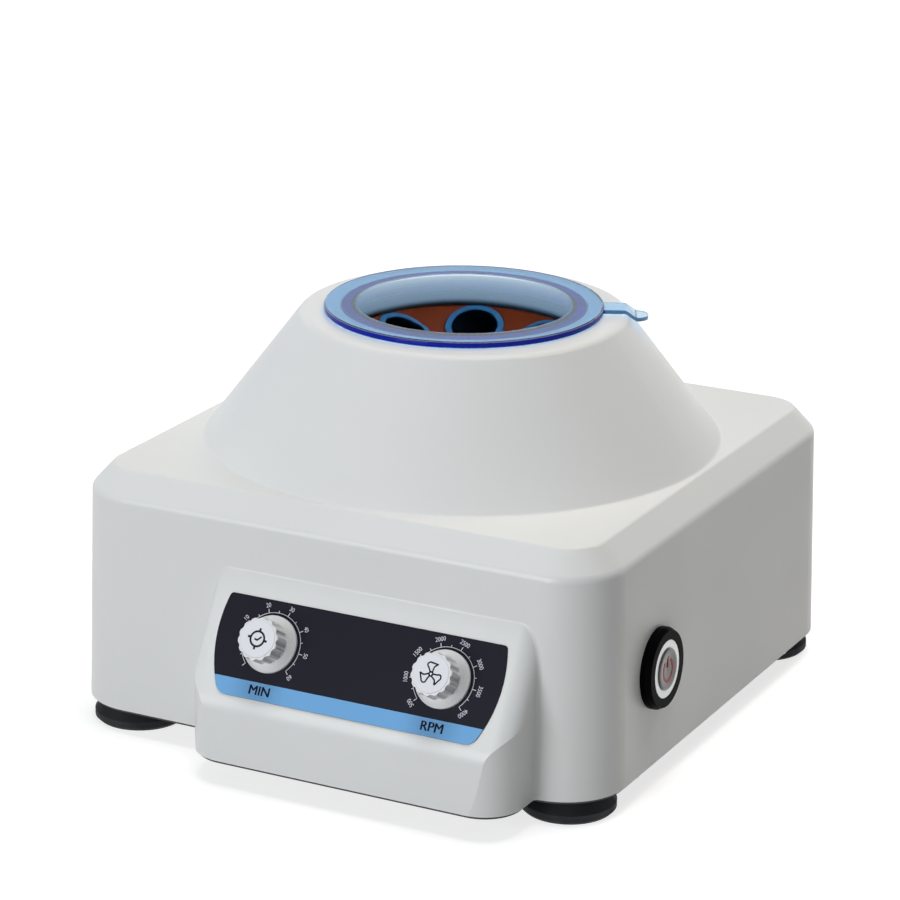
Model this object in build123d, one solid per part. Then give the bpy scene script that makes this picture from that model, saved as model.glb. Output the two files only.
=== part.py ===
from build123d import *
from math import asin, atan, cos, degrees, radians, sin, sqrt, tan
import os

# Low-speed bench centrifuge, in millimetres. +Z is up and the control pod faces -Y.
# The origin is on the rotor axis, on the plane that the feet stand on.

# Housing body
body_width = 270.0
body_draft = 1.47
body_corner_radius = 29.8
body_wall_height = 101.3
bevel_inset = 10.1
bevel_rise = 11.05
bevel_round = 5.0
deck_round = 2.0
housing_wall = 3.0

# Conical crown and its mouth
crown_height = 172.0
cone_base_radius = 120.4
cone_angle = 53.0
cone_foot_round = 2.0
shoulder_round = 4.8
mouth_radius = 57.0
mouth_edge_round = 0.8

# Control pod on the front wall
pod_center_x = 24.8
pod_half_width = 80.8
pod_projection = 30.0
pod_lean = 4.0
pod_face_tilt = 30.0
pod_face_setout = 12.0
pod_face_height = 55.0
pod_brow_round = 15.0
pod_side_round = 9.0
pod_corner_radius = 19.0
pod_blend_round = 2.5
pod_top_height = 95.0
pod_reach_inside = 35.0

# Base plate and feet
base_plate_thickness = 1.5
base_plate_inset = 1.5
foot_height = 10.5
foot_radius = 21.5
foot_neck_radius = 17.5
foot_lip_height = 4.5
foot_inset = 25.0
foot_hollow_radius = 13.0
foot_hollow_depth = 2.5
foot_screw_radius = 2.5
foot_screw_head_radius = 4.5
foot_screw_head_height = 3.0
foot_screw_seat = 6.0
foot_nut_radius = 4.6
foot_nut_height = 4.0
foot_edge_round = 1.5
foot_neck_chamfer = 1.0
foot_screw_recess_gap = 0.4
foot_screw_projection = 1.0

# Housing screws and the posts that they enter
post_radius = 5.5
post_height = 24.0
post_foot_distance = 25.0
post_overlap = 2.0
post_screw_radius = 1.9
post_screw_depth = 16.0
post_screw_head_radius = 4.0
post_screw_head_height = 2.0

# Cooling slots
rear_slot_count = 9
rear_slot_pitch = 7.0
rear_slot_width = 3.0
rear_slot_length = 26.0
rear_slot_center_x = -62.0
rear_slot_height = 58.0
base_slot_count = 5
base_slot_pitch = 9.0
base_slot_width = 4.0
base_slot_length = 46.0

# Lid
lid_seat_gap = 0.2
lid_flange_radius = 64.9
lid_flange_thickness = 3.1
lid_flange_round = 1.1
lid_collar_radius = 52.2
lid_collar_wall = 2.0
lid_collar_depth = 5.5
lid_dome_rise = 6.6
lid_dome_wall = 2.0
lid_tab_angle = 25.5
lid_tab_width = 13.0
lid_tab_reach = 85.2
lid_tab_thickness = 1.8
lid_tab_drop = 3.5
lid_tab_bend_start = 74.6
lid_tab_bend_end = 79.6
lid_tab_bend_round = 3.0
lid_gasket_radius = 56.4
lid_gasket_height = 5.0
lid_gasket_round = 1.0
lid_tab_root = 4.0
lid_tab_tip_flat = 0.3

# Chamber bowl
bowl_floor_height = 72.0
bowl_radius = 100.0
bowl_wall = 2.0
bowl_corner_radius = 12.0
bowl_crown_gap = 0.3
tower_base_radius = 48.0
tower_top_radius = 36.5
tower_top_height = 120.0
tower_hole_radius = 16.0
bowl_seal_height = 6.0
bowl_seal_thickness = 1.6
bowl_post_inset = 20.0
bowl_post_radius = 4.5
bowl_screw_radius = 2.0
bowl_screw_head_radius = 4.2
bowl_screw_head_height = 2.4
bowl_screw_depth = 10.0

# Rotor
tube_count = 6
sleeve_tilt = 30.0
sleeve_phase = 48.6
sleeve_circle = 34.0
sleeve_mouth_height = 166.4
sleeve_bore_radius = 10.9
sleeve_wall = 1.3
sleeve_depth = 83.0
sleeve_rim_radius = 14.0
sleeve_rim_thickness = 2.0
sleeve_end_round = 7.0
sleeve_hole_clearance = 0.1
cushion_radius = 9.0
cushion_thickness = 3.0
sleeve_floor = 2.5
rotor_plate_thickness = 5.0
rotor_plate_outer = 16.0
rotor_plate_inner = -22.0
rotor_skirt_length = 42.0
rotor_skirt_wall = 2.0
rotor_rim_round = 1.6
rotor_boss_radius = 13.0
rotor_boss_bottom = 124.0
rotor_web_thickness = 3.0
rotor_nut_radius = 8.0
rotor_nut_height = 7.0
rotor_washer_radius = 10.0
rotor_washer_thickness = 1.5
rotor_nut_chamfer = 1.2
rotor_web_share = 0.7
sleeve_seat_gap = 0.5
sleeve_mouth_round = 0.5
sleeve_rim_round = 0.8
cushion_dish_depth = 1.8
cushion_dish_radius = 12.6

# Motor
shaft_radius = 4.0
shaft_bottom = 28.0
shaft_end_height = 1.5
shaft_chamfer = 0.6
bearing_running_clearance = 0.05
bearing_radius = 11.0
bearing_width = 7.0
shield_groove_half = 1.4
shield_groove_depth = 0.4
motor_plate_size = 100.0
motor_plate_thickness = 3.0
motor_plate_corner = 10.0
motor_plate_bore_gap = 1.0
damper_spacing = 80.0
damper_radius = 7.0
damper_waist_radius = 5.4
damper_height = 14.0
damper_bolt_radius = 2.0
damper_bolt_head_radius = 4.0
damper_bolt_head_height = 2.5
motor_radius = 31.0
motor_wall = 1.6
lower_cap_height = 14.0
can_height = 55.0
upper_cap_height = 14.0
upper_boss_radius = 14.0
upper_boss_height = 4.0
motor_cap_wall = 3.0
motor_screw_circle = 24.0
motor_screw_radius = 1.8
motor_screw_head_radius = 3.4
motor_screw_head_height = 2.2
motor_screw_reach = 7.0
stator_bore = 19.6
stack_bottom = 50.0
stack_height = 34.0
air_gap = 0.7
commutator_radius = 11.0
commutator_height = 9.0
commutator_gap = 2.0
brush_holder_radius = 4.5
brush_radius = 2.8
brush_gap = 0.3
brush_cap_radius = 6.0
brush_cap_thickness = 2.5
brush_length = 9.0
fan_radius = 26.5
fan_height = 5.0
fan_hub_radius = 9.0
fan_disc_thickness = 1.5
fan_blade_count = 8
fan_blade_thickness = 1.4
fan_bottom = 44.0
motor_screw_count = 3
lower_cap_round = 2.0
upper_cap_round = 3.0
cap_shaft_gap = 2.0
bearing_pocket_floor = 1.0
field_pole_count = 4
field_pocket_width = 9.0
field_pocket_depth = 10.0
armature_slot_count = 12
armature_slot_width = 2.4
armature_slot_depth = 3.5
commutator_groove_width = 0.7
commutator_groove_depth = 0.6
brush_slip = 0.05
brush_cap_gap = 0.1
boot_collar_slip = 0.1
boot_boss_gap = 0.3
boot_roof_lift = 0.2
boot_flange_radius = 21.0
boot_thickness = 1.6
boot_lip_gap = 0.4

# Control label and dials
label_thickness = 0.4
label_top = 17.4
label_bottom = -27.8
label_top_half_width = 68.4
label_mid_half_width = 70.6
label_low_half_width = 58.9
label_low_corner_radius = 6.4
label_low_corner_reach = 4.0
label_top_corner_radius = 2.0
dial_offset = 42.8
dial_along_face = -2.3
knob_label_gap = 0.4
knob_skirt_radius = 13.0
knob_grip_radius = 9.8
knob_height = 13.2
knob_flute_count = 14
knob_flute_radius = 2.2
knob_flute_depth = 0.75
knob_edge_round = 0.6
knob_skirt_edge = 1.04
knob_cone_height = 3.14
knob_cone_foot = 1.4
knob_neck_height = 1.3
knob_soft_round = 0.9
knob_flute_start = 1.1
knob_cap_slip = 0.05
knob_cap_projection = 0.15
knob_cap_round = 0.12
knob_cap_radius = 8.4
knob_cap_thickness = 0.8
knob_hollow_radius = 8.2
knob_hollow_depth = 3.4
dial_shaft_radius = 3.0
dial_shaft_knob_depth = 6.0
dial_shaft_clearance = 0.05
bush_radius = 4.6
bush_clearance = 0.2
bush_height = 2.2
panel_nut_radius = 7.0
panel_nut_height = 1.8
timer_size = 34.0
timer_depth = 22.0
timer_corner = 3.0
pot_radius = 12.0
pot_depth = 13.0
pot_tag_pitch = 5.0
pot_tag_width = 2.0
pot_tag_length = 6.0
pot_tag_thickness = 0.8
dial_shaft_end_gap = 0.5

# Power switch on the right wall
switch_setback = 63.5
switch_height = 44.7
switch_bezel_radius = 18.6
switch_front_radius = 17.4
switch_bezel_depth = 5.0
switch_bezel_round = 1.2
switch_ring_radius = 13.2
switch_ring_depth = 4.2
switch_button_radius = 9.4
switch_button_gap = 0.3
switch_button_proud = 0.6
switch_button_length = 9.0
switch_button_dish = 60.0
switch_travel = 2.5
switch_barrel_radius = 13.8
switch_barrel_length = 16.0
switch_hole_clearance = 0.3
switch_nut_radius = 18.0
switch_nut_height = 4.0
switch_block_radius = 11.5
switch_block_length = 14.0
switch_terminal_size = 4.8
switch_terminal_thickness = 0.8
switch_terminal_length = 8.0
switch_barrel_wall = 1.8
switch_face_thickness = 1.2
switch_ring_recess = 0.2
switch_ring_round = 0.3
switch_button_round = 0.5
switch_dish_depth = 0.5
switch_block_gap = 0.5
switch_nut_notch_count = 6
switch_nut_notch_width = 4.0
switch_nut_notch_depth = 1.5

# Mains inlet on the rear wall
inlet_corner_distance = 73.0
inlet_height = 42.0
inlet_flange_width = 50.0
inlet_flange_height = 24.0
inlet_flange_thickness = 2.5
inlet_body_width = 30.0
inlet_body_height = 20.0
inlet_body_depth = 22.0
inlet_socket_width = 24.6
inlet_socket_height = 17.0
inlet_socket_depth = 16.5
inlet_socket_chamfer = 4.5
inlet_pin_width = 2.0
inlet_pin_height = 4.0
inlet_pin_length = 15.0
inlet_pin_spacing = 14.0
inlet_pin_drop = 0.5
inlet_ground_lift = 3.0
inlet_fit = 0.3
inlet_screw_spacing = 40.0
inlet_screw_radius = 1.5
inlet_screw_head_radius = 2.9
inlet_screw_head_height = 1.4
inlet_screw_length = 9.0
inlet_flange_corner = 4.0

# Control board on the left of the base plate
board_wall_distance = 12.0
board_width = 52.0
board_length = 92.0
board_thickness = 1.6
board_standoff_height = 8.0
board_standoff_radius = 3.0
board_hole_inset = 5.0
board_hole_radius = 1.6
board_corner = 2.0
board_pin_projection = 0.8
transformer_size = 30.0
transformer_height = 27.0
transformer_y = 22.0
transformer_depth = 15.0
transformer_window_width = 21.0
transformer_window_height = 16.2
transformer_winding_radius = 10.0
capacitor_radius = 8.0
capacitor_height = 24.0
capacitor_y = -32.0
capacitor_pitch = 19.0
capacitor_round = 1.0
sink_y = -10.0
sink_width = 32.0
sink_depth = 10.0
sink_height = 26.0
sink_base = 2.5
sink_fin_count = 6
sink_fin_thickness = 1.5
sink_fin_root = 0.5

# Values that many pieces share
overrun = 1.0
near = 0.01
head_round_share = 0.45

# Heights above the bench that follow from the sizes above
plate_top = foot_height + base_plate_thickness
edge_z = plate_top
deck_z = edge_z + body_wall_height + bevel_rise
land_z = edge_z + crown_height
cone_slope = tan(radians(cone_angle))
bevel_angle = degrees(atan(bevel_rise / bevel_inset))
face_tilt = radians(pod_face_tilt)
motor_plate_bottom = plate_top + damper_height
motor_base = motor_plate_bottom + motor_plate_thickness
can_bottom = motor_base + lower_cap_height
can_top = can_bottom + can_height
motor_top = can_top + upper_cap_height
tilt = radians(sleeve_tilt)
sleeve_radius = sleeve_bore_radius + sleeve_wall
lid_bottom = land_z + lid_seat_gap
body_half = body_width / 2
pod_front_y = -body_half - pod_projection
pod_face_y = -body_half - pod_face_setout
pod_back_y = -body_half + pod_reach_inside
foot_half = body_half - foot_inset
switch_y = -body_half + switch_setback
inlet_x = body_half - inlet_corner_distance
board_x = -body_half + board_wall_distance + board_width / 2
damper_half = damper_spacing / 2

# Planes for the pieces that sit on a sloping wall
face_point = Vector(pod_center_x, pod_face_y, edge_z + pod_face_height)
face_normal = Vector(0, -cos(face_tilt), sin(face_tilt))
face_up = Vector(0, sin(face_tilt), cos(face_tilt))
label_plane = Plane(origin=face_point, x_dir=(1, 0, 0), z_dir=face_normal)


def dial_plane(side):
    """Plane on the pod face, centred on one dial; side is -1 for the timer and 1 for the speed."""
    centre = face_point + Vector(side * dial_offset, 0, 0) + face_up * dial_along_face
    return Plane(origin=centre, x_dir=(1, 0, 0), z_dir=face_normal)


draft = radians(body_draft)
switch_normal = Vector(cos(draft), 0, sin(draft))
switch_point = Vector(body_half - switch_height * tan(draft), switch_y, edge_z + switch_height)
switch_plane = Plane(origin=switch_point, x_dir=(0, 1, 0), z_dir=switch_normal)
rear_normal = Vector(0, cos(draft), sin(draft))
rear_point = Vector(inlet_x, body_half - inlet_height * tan(draft), edge_z + inlet_height)
inlet_plane = Plane(origin=rear_point, x_dir=(-1, 0, 0), z_dir=rear_normal)


# Small helpers

def disc(radius, bottom, top, x=0.0, y=0.0):
    """A round bar along Z between two heights."""
    return Pos(x, y, bottom) * Cylinder(radius, top - bottom, align=(Align.CENTER, Align.CENTER, Align.MIN))


def ring(outer, inner, bottom, top, x=0.0, y=0.0):
    """A washer or tube along Z between two heights."""
    return disc(outer, bottom, top, x, y) - disc(inner, bottom - overrun, top + overrun, x, y)


def turned(points):
    """A solid turned about Z from a half section, given as (radius, height) pairs."""
    section = make_face(Polyline([(r, 0, z) for r, z in points], close=True))
    return revolve(section, Axis.Z)


def around(shape, count, start=0.0):
    """Copies of a shape at even steps about Z."""
    return [Rot(0, 0, start + i * 360 / count) * shape for i in range(count)]


def hexagon(radius, bottom, top, x=0.0, y=0.0):
    """A hexagonal bar along Z, measured across its corners."""
    return Pos(x, y, bottom) * extrude(RegularPolygon(radius, 6), top - bottom)


def corners(half_x, half_y):
    """The four corner points of a rectangle about the origin."""
    return [(sx * half_x, sy * half_y) for sx in (-1, 1) for sy in (-1, 1)]


def pan_screw(shank, length, head, head_height):
    """A screw along Z with its seat at zero, its shank upwards and its head below."""
    dome = disc(head, -head_height, 0)
    dome = fillet(dome.edges().group_by(Axis.Z)[0], head_height * head_round_share)
    return dome + disc(shank, 0, length)


# Housing forms: each is made once for the outside and once, inset by the wall, for the inside

def box_form(inset):
    """The drafted square body with its bevelled deck."""
    lower_half = body_half - inset
    lower_radius = body_corner_radius - inset
    wall_top = body_wall_height - inset * tan(radians(90 - bevel_angle) / 2)
    rise = body_wall_height + bevel_rise - inset - wall_top
    shrink = wall_top * tan(draft)
    lower = Pos(0, 0, edge_z) * RectangleRounded(2 * lower_half, 2 * lower_half, lower_radius)
    upper_size = 2 * (lower_half - shrink)
    upper = Pos(0, 0, edge_z + wall_top) * RectangleRounded(upper_size, upper_size, lower_radius - shrink)
    walls = extrude(lower, wall_top, taper=body_draft)
    return walls + extrude(upper, rise, taper=90 - bevel_angle)


def cone_radius(height, inset=0.0):
    """Radius of the crown's cone at a height above the bench, before the shoulder is rounded."""
    return cone_base_radius - inset / sin(radians(cone_angle)) - (height - deck_z) / cone_slope


def crown_form(inset):
    """The cone with its rounded shoulder and flat land."""
    top = land_z - inset
    bottom = deck_z - 2 * housing_wall
    section = make_face(Polyline([
        (0, 0, bottom),
        (cone_radius(bottom, inset), 0, bottom),
        (cone_radius(top, inset), 0, top),
        (0, 0, top),
    ], close=True))
    shoulder = section.vertices().sort_by(Axis.Z)[-2:].sort_by(Axis.X)[-1]
    section = fillet(shoulder, shoulder_round - inset)
    return revolve(section, Axis.Z)


def pod_form(inset, bottom):
    """The control pod: a side profile run across, cut to its rounded plan."""
    lean = tan(radians(pod_lean))
    slope = tan(face_tilt)
    front = pod_front_y + inset / cos(radians(pod_lean))
    face = pod_face_y + inset / cos(face_tilt)
    brow = (face - pod_face_height * slope - front) / (lean - slope)
    half = pod_half_width - inset
    profile = make_face(Polyline([
        (0, pod_back_y, bottom),
        (0, front + lean * bottom, bottom),
        (0, front + lean * brow, brow),
        (0, face + (pod_top_height - pod_face_height) * slope, pod_top_height),
        (0, pod_back_y, pod_top_height),
    ], close=True))
    brow_point = profile.vertices().filter_by_position(Axis.Z, brow - near, brow + near)
    profile = fillet(brow_point, pod_brow_round - inset)
    prism = extrude(profile, half, dir=(1, 0, 0), both=True)
    sides = prism.faces().sort_by(Axis.X)
    edges = sides[0].edges() + sides[-1].edges()
    top = pod_top_height - overrun
    edges = [e for e in edges
             if e.center().Y < pod_back_y - overrun and bottom + overrun < e.center().Z < top]
    prism = fillet(edges, pod_side_round - inset)
    depth = pod_back_y - front
    plan = Pos(0, (pod_back_y + front) / 2 + pod_corner_radius, bottom) * RectangleRounded(
        2 * half, depth + 2 * pod_corner_radius, pod_corner_radius - inset)
    column = extrude(plan, pod_top_height - bottom)
    return Pos(pod_center_x, 0, edge_z) * (prism & column)


def flat_edges(shape, height):
    """The edges of a shape that lie flat at one height."""
    found = []
    for edge in shape.edges():
        box = edge.bounding_box()
        if abs(box.min.Z - height) < near and abs(box.max.Z - height) < near:
            found.append(edge)
    return found


def is_arc(edge, radius):
    """Whether an edge is part of a circle of one radius."""
    return edge.geom_type == GeomType.CIRCLE and abs(edge.radius - radius) < near


def junction_edges(shape):
    """The edges where the pod leaves the front wall."""
    found = []
    for edge in shape.edges():
        box = edge.bounding_box()
        on_wall = -body_half - overrun < box.min.Y and box.max.Y < -body_half + housing_wall
        beside_pod = box.min.X > pod_center_x - pod_half_width - overrun
        above_edge = box.max.Z > edge_z + overrun
        if on_wall and beside_pod and above_edge and box.max.Z < edge_z + pod_top_height:
            found.append(edge)
    return found


def make_upper_housing():
    """The moulded housing: body, crown and pod as one shell, open below."""
    outside = box_form(0) + crown_form(0)
    outside = fillet(flat_edges(outside, edge_z + body_wall_height), bevel_round)
    deck_edges = [e for e in flat_edges(outside, deck_z) if not is_arc(e, cone_base_radius)]
    outside = fillet(deck_edges, deck_round)
    cone_foot = [e for e in outside.edges() if is_arc(e, cone_base_radius)]
    outside = fillet(cone_foot, cone_foot_round)
    outside += pod_form(0, 0)
    outside = fillet(junction_edges(outside), pod_blend_round)
    inside = box_form(housing_wall) + crown_form(housing_wall) + pod_form(housing_wall, 0)
    shell = outside - inside
    shell -= disc(mouth_radius, land_z - 2 * housing_wall, land_z + overrun)
    mouth = [e for e in flat_edges(shell, land_z) if is_arc(e, mouth_radius)]
    shell = fillet(mouth, mouth_edge_round)
    for x, y in post_places:
        shell += disc(post_radius, edge_z, edge_z + post_height, x, y)
        shell -= disc(post_screw_radius, edge_z - overrun, edge_z + post_screw_depth + overrun, x, y)
    return cut_wall_holes(shell)


def cut_wall_holes(shell):
    """Holes for the dials, the switch and the inlet, and the cooling slots."""
    for side in (-1, 1):
        shell -= dial_plane(side) * Cylinder(bush_radius + bush_clearance, 4 * housing_wall)
        screw_hole = Cylinder(inlet_screw_radius, 4 * housing_wall)
        shell -= inlet_plane * Pos(side * inlet_screw_spacing / 2, 0, 0) * screw_hole
    shell -= switch_plane * Cylinder(switch_barrel_radius + switch_hole_clearance, 4 * housing_wall)
    shell -= inlet_plane * Box(
        inlet_body_width + 2 * inlet_fit, inlet_body_height + 2 * inlet_fit, 4 * housing_wall)
    slot = SlotOverall(rear_slot_length, rear_slot_width, rotation=90)
    for i in range(rear_slot_count):
        x = rear_slot_center_x + (i - (rear_slot_count - 1) / 2) * rear_slot_pitch
        place = Plane(origin=(x, body_half, edge_z + rear_slot_height), x_dir=(-1, 0, 0), z_dir=(0, 1, 0))
        shell -= extrude(place * slot, 2 * housing_wall, both=True)
    return shell


# Base plate, feet and fasteners

foot_places = corners(foot_half, foot_half)
post_places = corners(body_half - housing_wall - post_radius + post_overlap, foot_half - post_foot_distance)
damper_places = corners(damper_half, damper_half)
bowl_post_half = (bowl_radius - bowl_post_inset) / sqrt(2)
bowl_post_places = corners(bowl_post_half, bowl_post_half)


def make_base_plate():
    """The sheet that closes the housing from below, following the body and the pod."""
    size = body_width - 2 * base_plate_inset
    outline = RectangleRounded(size, size, body_corner_radius - base_plate_inset)
    width = 2 * (pod_half_width - base_plate_inset)
    depth = -pod_front_y - base_plate_inset
    pod_outline = RectangleRounded(width, depth, pod_corner_radius - base_plate_inset)
    outline += Pos(pod_center_x, -depth / 2) * pod_outline
    plate = Pos(0, 0, foot_height) * extrude(outline, base_plate_thickness)
    holes = [(foot_places, foot_screw_radius), (post_places, post_screw_radius)]
    holes += [(damper_places, damper_bolt_radius), (bowl_post_places, bowl_screw_radius)]
    for places, radius in holes:
        for x, y in places:
            plate -= disc(radius, foot_height - overrun, plate_top + overrun, x, y)
    slot = SlotOverall(base_slot_length, base_slot_width)
    for i in range(base_slot_count):
        y = (i - (base_slot_count - 1) / 2) * base_slot_pitch
        plate -= Pos(0, y, foot_height - overrun) * extrude(slot, base_plate_thickness + 2 * overrun)
    return plate


def make_feet():
    """Four flared rubber feet, hollow below, each with a seat for its screw."""
    section = make_face(Polyline([
        (foot_hollow_radius, 0, 0),
        (foot_radius - foot_edge_round, 0, 0),
        (foot_radius, 0, foot_edge_round),
        (foot_radius, 0, foot_lip_height),
        (foot_neck_radius, 0, foot_height - foot_neck_chamfer),
        (foot_neck_radius - foot_neck_chamfer, 0, foot_height),
        (foot_screw_radius, 0, foot_height),
        (foot_screw_radius, 0, foot_screw_seat),
        (foot_screw_head_radius + foot_screw_recess_gap, 0, foot_screw_seat),
        (foot_screw_head_radius + foot_screw_recess_gap, 0, foot_hollow_depth),
        (foot_hollow_radius, 0, foot_hollow_depth),
    ], close=True))
    foot = revolve(section, Axis.Z)
    return [Pos(x, y, 0) * foot for x, y in foot_places]


def make_foot_screws():
    """Screws from below through the feet and the base plate."""
    length = plate_top + foot_nut_height + foot_screw_projection - foot_screw_seat
    screw = pan_screw(foot_screw_radius, length, foot_screw_head_radius, foot_screw_head_height)
    return [Pos(x, y, foot_screw_seat) * screw for x, y in foot_places]


def make_foot_nuts():
    """Nuts that hold the feet, on top of the base plate."""
    nut = hexagon(foot_nut_radius, plate_top, plate_top + foot_nut_height)
    nut -= disc(foot_screw_radius, plate_top - overrun, plate_top + foot_nut_height + overrun)
    return [Pos(x, y, 0) * nut for x, y in foot_places]


def make_housing_screws():
    """Screws from below through the base plate into the housing posts."""
    length = base_plate_thickness + post_screw_depth
    screw = pan_screw(post_screw_radius, length, post_screw_head_radius, post_screw_head_height)
    return [Pos(x, y, foot_height) * screw for x, y in post_places]


# Lid

def make_lid():
    """The see-through lid: flange, shallow dome, locating collar and finger tab."""
    top = lid_bottom + lid_flange_thickness
    inner = lid_collar_radius - lid_collar_wall
    outer_dome = arc_through(inner, top, lid_dome_rise)
    inner_dome = arc_through(inner, top - lid_dome_wall, lid_dome_rise)
    edge = Polyline([
        (inner, 0, top),
        (lid_flange_radius, 0, top),
        (lid_flange_radius, 0, lid_bottom),
        (lid_collar_radius, 0, lid_bottom),
        (lid_collar_radius, 0, lid_bottom - lid_collar_depth),
        (inner, 0, lid_bottom - lid_collar_depth),
        (inner, 0, top - lid_dome_wall),
    ])
    axis = Line((0, 0, top + lid_dome_rise - lid_dome_wall), (0, 0, top + lid_dome_rise))
    section = make_face([edge, inner_dome, axis, outer_dome])
    rim = [v for v in section.vertices() if v.X > lid_flange_radius - near]
    section = fillet(rim, lid_flange_round)
    return revolve(section, Axis.Z) + make_lid_tab(top)


def arc_through(radius, height, rise):
    """Half of a shallow dome's section, from the axis out to a radius."""
    sphere = (radius ** 2 + rise ** 2) / (2 * rise)
    half = asin(radius / sphere) / 2
    middle = (sphere * sin(half), 0, height + rise - sphere * (1 - cos(half)))
    return ThreePointArc((0, 0, height + rise), middle, (radius, 0, height))


def make_lid_tab(top):
    """The finger tab: a strap that steps down past the shoulder of the crown."""
    high = top - (lid_flange_thickness - lid_tab_thickness) / 2
    low = high - lid_tab_drop
    start = lid_flange_radius - lid_tab_root
    upper = [(start, high), (lid_tab_bend_start, high), (lid_tab_bend_end, low), (lid_tab_reach, low)]
    lower = [(r, z - lid_tab_thickness) for r, z in reversed(upper)]
    section = make_face(Polyline([(r, 0, z) for r, z in upper + lower], close=True))
    bends = [v for v in section.vertices() if start + near < v.X < lid_tab_reach - near]
    section = fillet(bends, lid_tab_bend_round)
    tab = extrude(section, lid_tab_width / 2, dir=(0, 1, 0), both=True)
    tip = [e for e in tab.edges().filter_by(Axis.Z) if e.center().X > lid_tab_reach - near]
    tab = fillet(tip, lid_tab_width / 2 - lid_tab_tip_flat)
    return Rot(0, 0, lid_tab_angle) * tab


def make_lid_gasket():
    """The soft ring around the collar, under the flange."""
    gasket = ring(lid_gasket_radius, lid_collar_radius, lid_bottom - lid_gasket_height, lid_bottom)
    lower = [e for e in flat_edges(gasket, lid_bottom - lid_gasket_height) if is_arc(e, lid_gasket_radius)]
    return fillet(lower, lid_gasket_round)


# Chamber bowl

bowl_outer = bowl_radius + bowl_wall
seal_outer = bowl_outer + bowl_seal_thickness
seal_top = deck_z + (cone_radius(deck_z, housing_wall) - seal_outer) * cone_slope - bowl_crown_gap
bowl_top = seal_top - bowl_seal_thickness


def make_chamber_bowl():
    """The deep bowl round the rotor, with the tower that covers the motor."""
    floor = bowl_floor_height
    section = make_face(Polyline([
        (bowl_radius, 0, bowl_top),
        (bowl_radius, 0, floor),
        (tower_base_radius, 0, floor),
        (tower_top_radius, 0, tower_top_height),
        (tower_hole_radius, 0, tower_top_height),
        (tower_hole_radius, 0, tower_top_height - bowl_wall),
        (tower_top_radius - bowl_wall, 0, tower_top_height - bowl_wall),
        (tower_base_radius - bowl_wall, 0, floor - bowl_wall),
        (bowl_outer, 0, floor - bowl_wall),
        (bowl_outer, 0, bowl_top),
    ], close=True))
    inner = [v for v in section.vertices() if abs(v.Z - floor) < near and v.X > tower_base_radius + near]
    section = fillet(inner, bowl_corner_radius)
    outer = [v for v in section.vertices()
             if abs(v.Z - floor + bowl_wall) < near and v.X > bowl_outer - near]
    section = fillet(outer, bowl_corner_radius + bowl_wall)
    shoulder = [v for v in section.vertices()
                if abs(v.Z - tower_top_height) < near and abs(v.X - tower_top_radius) < near]
    section = fillet(shoulder, 2 * bowl_wall)
    bowl = revolve(section, Axis.Z)
    for x, y in bowl_post_places:
        bowl -= disc(bowl_screw_radius, floor - 2 * bowl_wall, floor + overrun, x, y)
    return bowl


def make_bowl_seal():
    """The rubber trim that wraps the bowl's upper edge and meets the inside of the cone."""
    low = seal_top - bowl_seal_height
    inner = bowl_radius - bowl_seal_thickness
    return turned([
        (inner, low), (bowl_radius, low), (bowl_radius, bowl_top), (bowl_outer, bowl_top),
        (bowl_outer, low), (seal_outer, low), (seal_outer, seal_top), (inner, seal_top),
    ])


def make_bowl_posts():
    """Hexagonal posts that carry the bowl on the base plate."""
    top = bowl_floor_height - bowl_wall
    post = hexagon(bowl_post_radius, plate_top, top)
    post += disc(bowl_screw_radius, foot_height, plate_top + overrun)
    post -= disc(bowl_screw_radius, top - bowl_screw_depth, top + overrun)
    return [Pos(x, y, 0) * post for x, y in bowl_post_places]


def make_bowl_screws():
    """Screws down through the bowl floor into its posts."""
    screw = pan_screw(bowl_screw_radius, bowl_screw_depth, bowl_screw_head_radius, bowl_screw_head_height)
    screw = Rot(180, 0, 0) * screw
    return [Pos(x, y, bowl_floor_height) * screw for x, y in bowl_post_places]


# Rotor

sleeve_plane = Plane(
    origin=(sleeve_circle, 0, sleeve_mouth_height),
    x_dir=(cos(tilt), 0, sin(tilt)), z_dir=(-sin(tilt), 0, cos(tilt)))


def dish_point(along, depth):
    """A point of the rotor's half section: along the dish slope, and down square to it."""
    r = sleeve_circle + along * cos(tilt) + (sleeve_rim_thickness + depth) * sin(tilt)
    z = sleeve_mouth_height + along * sin(tilt) - (sleeve_rim_thickness + depth) * cos(tilt)
    return r, z


hub_radius, hub_top = dish_point(rotor_plate_inner, 0)
washer_top = hub_top + rotor_washer_thickness
nut_top = washer_top + rotor_nut_height
shaft_top = nut_top + shaft_end_height


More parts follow.
